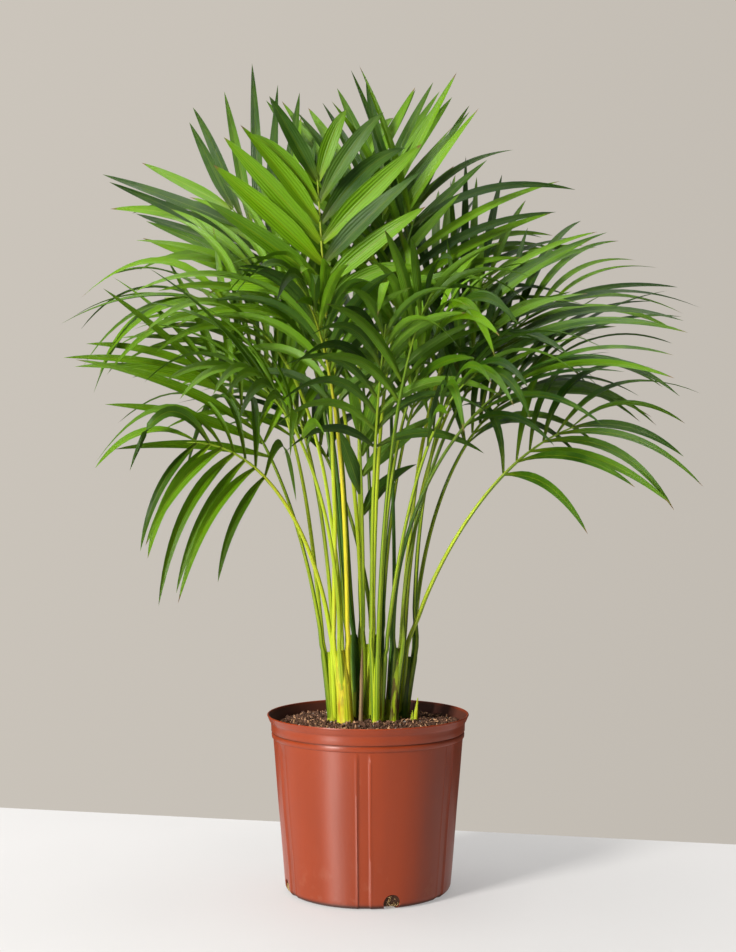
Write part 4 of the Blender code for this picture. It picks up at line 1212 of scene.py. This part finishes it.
def frond_tree():
    """A leaf: the stalk swept along its line, and a blade bent along each leaflet's own curve."""
    tree, into = new_tree("feather_leaf", {
        "Blade": ("Object", None), "Fold": ("Float", 0.3), "Twist": ("Float", 0.5),
        "Thickness": ("Float", 0.0005), "Sides": ("Int", 10), "Leaf": ("Material", None),
        "Stalk": ("Material", None)})
    parted = add_node(tree, "GeometryNodeSeparateGeometry",
                      {"Geometry": into["Geometry"], "Selection": named(tree, "is_blade", "BOOLEAN")})
    stalk = strand_nodes(tree, parted.outputs["Inverted"], into["Sides"], into["Stalk"])
    template = add_node(tree, "GeometryNodeObjectInfo", {"Object": into["Blade"]}).outputs["Geometry"]
    points = add_node(tree, "GeometryNodeMeshToPoints", {"Mesh": parted.outputs["Selection"]}).outputs[0]
    placed = add_node(tree, "GeometryNodeInstanceOnPoints", {"Points": points, "Instance": template})
    real = add_node(tree, "GeometryNodeRealizeInstances", {0: placed.outputs[0]}).outputs[0]
    bent = add_node(tree, "GeometryNodeSetPosition", {
        "Geometry": real,
        "Position": bent_place(tree, into["Fold"], into["Twist"], into["Thickness"])}).outputs[0]
    blades = add_node(tree, "GeometryNodeSetMaterial", {"Geometry": bent, "Material": into["Leaf"]})
    joined = tree.nodes.new("GeometryNodeJoinGeometry")
    tree.links.new(blades.outputs[0], joined.inputs[0])
    tree.links.new(stalk, joined.inputs[0])
    return close_tree(tree, joined.outputs[0])


def lerp(tree, share, first, second):
    """A vector a share of the way from one to another."""
    made = add_node(tree, "ShaderNodeMix", data_type="VECTOR")
    tree.links.new(share, made.inputs[0])
    tree.links.new(first, made.inputs[4])
    tree.links.new(second, made.inputs[5])
    return made.outputs[1]


def bent_place(tree, fold, twist, thickness):
    """Where a vertex of a blade goes: along the leaflet's curve, across it and off it."""
    along, across = named(tree, "blade_along"), named(tree, "blade_across")
    layer, spin = named(tree, "blade_layer"), named(tree, "spin")
    base, bend, tip = (named(tree, name, "FLOAT_VECTOR") for name in ("base", "bend", "tip"))
    first, second = lerp(tree, along, base, bend), lerp(tree, along, bend, tip)
    spine = lerp(tree, along, first, second)
    forward = vectors(tree, "NORMALIZE", vectors(tree, "SUBTRACT", second, first))
    wide = named(tree, "wide", "FLOAT_VECTOR")
    face = vectors(tree, "NORMALIZE", vectors(tree, "CROSS_PRODUCT", forward, wide))
    side = vectors(tree, "CROSS_PRODUCT", face, forward)
    angle = times(tree, times(tree, spin, twist), maths(tree, "POWER", along, 1.4))
    turned = []
    for vector in (side, face):
        turned.append(add_node(tree, "ShaderNodeVectorRotate",
                               {"Vector": vector, "Axis": forward, "Angle": angle},
                               rotation_type="AXIS_ANGLE").outputs[0])
    half = times(tree, across, named(tree, "half_width"))
    easing = maths(tree, "SUBTRACT", 1.6, times(tree, along, 1.2))
    rise = times(tree, times(tree, maths(tree, "ABSOLUTE", half), fold), easing)
    rise = plus(tree, rise, times(tree, layer, thickness))
    place = vectors(tree, "ADD", spine, scaled(tree, turned[0], half))
    place = vectors(tree, "ADD", place, scaled(tree, turned[1], rise))
    hang = times(tree, maths(tree, "POWER", along, 2.6), times(tree, named(tree, "curl"), -1.0))
    return vectors(tree, "ADD", place, raised(tree, hang))


def blade_width(along):
    """Half width of a leaflet as a share of its widest, from its narrow base to its long point."""
    base = 0.30 + 0.70 * math.sin(math.pi / 2 * min(1.0, along / BLADE_WIDEST)) ** 1.3
    point = max(0.0, 1.0 - max(0.0, (along - BLADE_WIDEST) / (1.0 - BLADE_WIDEST)) ** 1.9)
    return base * point ** 0.80


def blade_template():
    """A flat blade with an upper and a lower skin that share their edge, carrying its own coordinates."""
    shape = bmesh.new()
    data = []

    def vertex(along, vein, layer, under):
        data.append((along, vein * blade_width(along), layer, vein, under))
        return shape.verts.new((along, vein, layer))

    upper, lower = [], []
    for row in range(BLADE_ROWS):
        along = (row / BLADE_ROWS) ** 0.92
        top, bottom = [], []
        for column in range(BLADE_COLUMNS + 1):
            vein = 2.0 * column / BLADE_COLUMNS - 1.0
            edge = row == 0 or column in (0, BLADE_COLUMNS)
            body = (1.0 - vein * vein) * (1.0 - along) ** 0.4
            top.append(vertex(along, vein, 0.0 if edge else body * 0.5, 0.5 if edge else 0.0))
            bottom.append(top[-1] if edge else vertex(along, vein, -body * 0.5, 1.0))
        upper.append(top)
        lower.append(bottom)
    tip = vertex(1.0, 0.0, 0.0, 0.5)
    for skin, flip in ((upper, False), (lower, True)):
        for row in range(BLADE_ROWS):
            for column in range(BLADE_COLUMNS):
                last = row + 1 == BLADE_ROWS
                ends = [tip] if last else [skin[row + 1][column + 1], skin[row + 1][column]]
                corners = list(dict.fromkeys([skin[row][column], skin[row][column + 1], *ends]))
                shape.faces.new(corners if flip else corners[::-1])
    bmesh.ops.recalc_face_normals(shape, faces=shape.faces)
    mesh = shape_mesh("blade", shape)
    table = np.array(data)
    for column, name in enumerate(("blade_along", "blade_across", "blade_layer", "vein", "under")):
        set_attribute(mesh, name, "FLOAT", table[:, column])
    sharp = mesh.attributes.new("sharp_edge", "BOOLEAN", "EDGE")
    for edge in mesh.edges:
        sharp.data[edge.index].value = all(table[i, 4] == 0.5 for i in edge.vertices)
    return add_object("blade", mesh)


def cane_place(cane, share):
    """A point on a cane's middle line at a share of its height above its buried foot."""
    start = soil_height(*cane.foot) - CANE_BURIED
    bow = share ** 1.5
    return np.array([cane.foot[0] + (cane.top[0] - cane.foot[0]) * bow,
                     cane.foot[1] + (cane.top[1] - cane.foot[1]) * bow,
                     start + (cane.height - start) * share])


def chain(count):
    """Edges that join so many vertices in a row."""
    return [(i, i + 1) for i in range(count - 1)]


def line_mesh(name, points, girth, along, **constants):
    """A line of edges that carries its girth, its share along and some constants."""
    mesh = bpy.data.meshes.new(name)
    mesh.from_pydata([tuple(point) for point in points], chain(len(points)), [])
    set_attribute(mesh, "girth", "FLOAT", girth)
    set_attribute(mesh, "along", "FLOAT", along)
    for key, value in constants.items():
        set_attribute(mesh, key, "FLOAT", np.full(len(points), value))
    return mesh


def cane_girth(cane, share, lone):
    """Radius of a cane: swollen at the soil, ringed by old leaf bases, and closing in among its stalks."""
    radius = cane.foot_radius + (cane.top_radius - cane.foot_radius) * share
    swell = 1.0 + 0.10 * math.exp(-((share - 0.22) / 0.10) ** 2)
    ring = 1.0 + 0.035 * max(0.0, math.sin(share * 31.0)) ** 8
    close = 1.0 - (0.75 if lone else 0.50) * max(0.0, (share - 0.66) / 0.34) ** 1.6
    return radius * swell * ring * close


class PALM_OT_make_canes(bpy.types.Operator):
    """Makes the canes, the dried stub and the sprouts"""
    bl_idname = "palm.make_canes"
    bl_label = "Canes"

    def execute(self, context):
        """Sweeps each cane along its line."""
        green, dry = stalk_finish(context.scene.palm_leaf), dried_finish()
        tree = strand_tree()
        leafed = {frond.cane for frond in FRONDS.values()}
        for name, cane in CANES.items():
            shares = np.linspace(0.0, 1.0, CANE_POINTS)
            points = [cane_place(cane, share) for share in shares]
            girth = [cane_girth(cane, share, name not in leafed) for share in shares]
            line = line_mesh(name, points, girth, shares * CANE_SHARE, yellow=cane.yellow,
                             brown=cane.brown, is_cane=1.0, tone=random.Random(name).random())
            item = add_object(name, line)
            dried = name == "dried_stub"
            use_tree(item, tree, {"Sides": CANE_SIDES, "Material": dry if dried else green})
            finish_piece(name + "_skin", evaluated_mesh(item), [name])
        return {"FINISHED"}


def strand_below(frond, foot):
    """The stalk's sheath below its foot, drawn in among the others as it goes down the cane."""
    cane = CANES[frond.cane]
    top = cane_place(cane, 1.0)
    offset = np.array([foot[0] - top[0], foot[1] - top[1], 0.0])
    shares = np.linspace(0.30, 0.97, SHEATH_POINTS)
    points = [cane_place(cane, share) + offset * (0.30 + 0.70 * share) for share in shares]
    girth = [STALK_FOOT_THICKNESS / 2 * (1.30 - 0.30 * share) for share in shares]
    return points, girth


def frond_mesh(name, frond, axis, leaflets):
    """The line of a frond's stalk and rib, and a loose point for each leaflet with all that shapes it."""
    below, below_girth = strand_below(frond, axis[0])
    shares = np.linspace(0.0, 1.0, AXIS_POINTS)
    points = below + [tuple(point) for point in axis]
    tone = random.Random(name).random()
    girth = below_girth + list(thickness_at(shares, frond.knee) / 2 * (0.80 + 0.15 * tone))
    along = [0.0] * len(below) + list(shares)
    cane = CANES[frond.cane]
    rows = {key: [] for key in ("base", "bend", "tip", "wide")}
    loose = {key: [] for key in ("half_width", "spin", "shade", "curl")}
    for (pair, hand), leaflet in leaflets.items():
        chance = random.Random(f"{name} blade {pair} {hand}")
        base = (leaflet.near + leaflet.far) / 2
        middle = (leaflet.edge_near + leaflet.edge_far) / 2
        across = (leaflet.edge_far - leaflet.edge_near) * hand
        t = WIDEST_AT
        bend = (middle - (1 - t) ** 2 * base - t * t * leaflet.tip) / (2 * t * (1 - t))
        nearest = axis[np.argmin(np.linalg.norm(axis - base, axis=1))]
        inner = base - unit(base - nearest) * LEAFLET_INSET
        for key, value in (("base", inner), ("bend", bend), ("tip", leaflet.tip), ("wide", unit(across))):
            rows[key].append(value)
        loose["half_width"].append(np.linalg.norm(across) / 2 * chance.uniform(0.80, 1.04))
        loose["spin"].append(max(-1.7, min(1.7, chance.gauss(0.0, 0.6))))
        weak = chance.random() < WEAK_SHARE and frond.youth_and_light < STURDY_YOUTH
        hang = chance.uniform(0.020, 0.045) if weak else frond.droop * chance.uniform(0.0, 0.018)
        loose["curl"].append(hang)
        loose["shade"].append(chance.random())
    count, blades = len(points), len(leaflets)
    mesh = bpy.data.meshes.new(name)
    mesh.from_pydata(points + [tuple(base) for base in rows["base"]], chain(count), [])
    blank = np.zeros((count, 3))
    for key, values in rows.items():
        set_attribute(mesh, key, "FLOAT_VECTOR", np.vstack([blank, np.array(values)]))
    for key, values in loose.items():
        set_attribute(mesh, key, "FLOAT", [0.0] * count + values)
    set_attribute(mesh, "girth", "FLOAT", girth + [0.0] * blades)
    set_attribute(mesh, "along", "FLOAT", along + [1.0] * blades)
    warmth = cane.yellow * 0.75 + (tone - 0.45) * 0.9
    for key, value in (("yellow", warmth), ("brown", cane.brown * 0.6 * tone), ("youth_and_light", frond.youth_and_light),
                       ("tone", tone), ("is_cane", 0.0)):
        set_attribute(mesh, key, "FLOAT", [value] * (count + blades))
    chosen = mesh.attributes.new("is_blade", "BOOLEAN", "POINT")
    chosen.data.foreach_set("value", [False] * count + [True] * blades)
    return mesh


class PALM_OT_make_fronds(bpy.types.Operator):
    """Grows every feather leaf, with its stalk, rib and leaflets"""
    bl_idname = "palm.make_fronds"
    bl_label = "Fronds"

    def execute(self, context):
        """Grows the leaves as the solids grow, then bends a fine blade along each leaflet."""
        settings = context.scene.palm_leaf
        leaf = leaf_finish(settings)
        stalk = bpy.data.materials.get("stalk_skin") or stalk_finish(settings)
        feet = stalk_feet()
        axes = np.array([frond_axis(frond, feet[name]) for name, frond in FRONDS.items()])
        shares = np.linspace(0.0, 1.0, AXIS_POINTS)
        radii = np.array([thickness_at(shares, frond.knee) / 2 for frond in FRONDS.values()])
        axes = dict(zip(FRONDS, eased_apart(axes, radii)))
        stations = {name: frond_stations(frond, axes[name]) for name, frond in FRONDS.items()}
        leaflets = grow_leaflets(stations)
        blade, tree = blade_template(), frond_tree()
        for name, frond in FRONDS.items():
            item = add_object(name, frond_mesh(name, frond, axes[name], leaflets[name]))
            use_tree(item, tree, {"Blade": blade, "Fold": settings.fold, "Twist": settings.twist,
                                  "Thickness": settings.thickness, "Leaf": leaf, "Stalk": stalk})
            finish_piece(name + "_leaf", evaluated_mesh(item), [name])
        bpy.data.objects.remove(blade, do_unlink=True)
        return {"FINISHED"}


# ---------------------------------------------------------------- stage


def area_light(name, place, aim, size, power, colour):
    """A soft light of (width, height) that faces a point."""
    data = bpy.data.lights.new(name, "AREA")
    data.shape = "RECTANGLE"
    data.size, data.size_y = size
    data.energy = power
    data.color = colour
    light = add_object(name, data)
    light.location = place
    light.rotation_euler = (Vector(aim) - Vector(place)).to_track_quat("-Z", "Y").to_euler()


def backdrop(settings):
    """A wall with painted shade, darker to the right and downwards, and a dimmer fill of the same colour for
    the plant.
    """
    world = bpy.data.worlds.new("backdrop")
    bpy.context.scene.world = world
    world.use_nodes = True
    tree = world.node_tree
    shade = tree.nodes["Background"]
    seen = add_node(tree, "ShaderNodeLightPath").outputs["Is Camera Ray"]
    place = add_node(tree, "ShaderNodeSeparateXYZ",
                     {0: add_node(tree, "ShaderNodeTexCoord").outputs["Generated"]})
    # Painted shade on the wall: darker to the right and downwards; the fill from all round leans the same
    # way.
    lean = plus(tree, times(tree, place.outputs["X"], -0.18), 1.0)
    lean = plus(tree, lean, times(tree, place.outputs["Z"], 0.06))
    strength = add_node(tree, "ShaderNodeMapRange", {"Value": seen, "To Min": settings.fill, "To Max": 1.0})
    shade.inputs["Color"].default_value = rgba(settings.wall)
    tree.links.new(times(tree, lean, strength.outputs[0]), shade.inputs["Strength"])


class PALM_OT_make_stage(bpy.types.Operator):
    """Makes the pale table, the backdrop, the soft lights and the camera"""
    bl_idname = "palm.make_stage"
    bl_label = "Stage"

    def execute(self, context):
        """Lays the table, lights it and sets the camera."""
        settings = context.scene.palm_stage
        shape = bmesh.new()
        top = shape.faces.new([shape.verts.new((x, y, 0.0)) for x, y in TABLE_CORNERS])
        slab = bmesh.ops.extrude_face_region(shape, geom=[top])
        for item in slab["geom"]:
            if isinstance(item, bmesh.types.BMVert):
                item.co.z -= TABLE_THICKNESS
        bmesh.ops.recalc_face_normals(shape, faces=shape.faces)
        mesh = shape_mesh("table_top", shape, False)
        mesh.materials.append(floor_finish(settings))
        add_object("table_top", mesh)
        backdrop(settings)
        area_light("key_light", (-3.75, -3.8, 2.7), (0.0, 0.0, 0.6), (1.15, 3.0), settings.key_power,
                   KEY_COLOUR)
        area_light("top_light", (-0.3, 0.4, 3.4), (0.0, 0.0, 0.0), (3.0, 3.0),
                   settings.key_power * TOP_LIGHT_SHARE, TOP_COLOUR)
        camera = add_object("camera", bpy.data.cameras.new("camera"))
        camera.location = CAMERA_PLACE
        camera.rotation_euler = (math.pi / 2, 0.0, 0.0)
        camera.data.lens = CAMERA_LENS
        camera.data.sensor_width = 36.0
        context.scene.camera = camera
        context.scene.view_settings.view_transform = "Standard"
        return {"FINISHED"}


# ---------------------------------------------------------------- panel and registration


class PALM_PT_panel(bpy.types.Panel):
    """Lists the pieces and their settings"""
    bl_idname = "PALM_PT_panel"
    bl_label = "Potted Palm"
    bl_space_type = "VIEW_3D"
    bl_region_type = "UI"
    bl_category = "Palm"

    def draw(self, context):
        """Draws each group's settings above the buttons that use them."""
        for group, buttons in PANEL_ROWS:
            settings = getattr(context.scene, group)
            box = self.layout.box()
            for key in settings.__annotations__:
                box.prop(settings, key)
            for button in buttons:
                box.operator(button)


GROUPS = {"palm_pot": PalmPotSettings, "palm_soil": PalmSoilSettings, "palm_leaf": PalmLeafSettings,
          "palm_stage": PalmStageSettings}
PANEL_ROWS = (("palm_pot", ("palm.make_pot",)), ("palm_soil", ("palm.make_soil",)),
              ("palm_leaf", ("palm.make_canes", "palm.make_fronds")), ("palm_stage", ("palm.make_stage",)))
CLASSES = (*GROUPS.values(), PALM_OT_make_pot, PALM_OT_make_soil, PALM_OT_make_canes, PALM_OT_make_fronds,
           PALM_OT_make_stage, PALM_PT_panel)


def register():
    """Adds the classes and the scene's settings."""
    for item in CLASSES:
        bpy.utils.register_class(item)
    for name, group in GROUPS.items():
        setattr(bpy.types.Scene, name, PointerProperty(type=group))


def unregister():
    """Takes away the scene's settings and the classes."""
    for name in GROUPS:
        delattr(bpy.types.Scene, name)
    for item in reversed(CLASSES):
        bpy.utils.unregister_class(item)


def main():
    """Makes every piece."""
    register()
    bpy.ops.palm.make_stage()
    bpy.ops.palm.make_pot()
    bpy.ops.palm.make_soil()
    bpy.ops.palm.make_canes()
    bpy.ops.palm.make_fronds()


if __name__ == "__main__":
    main()
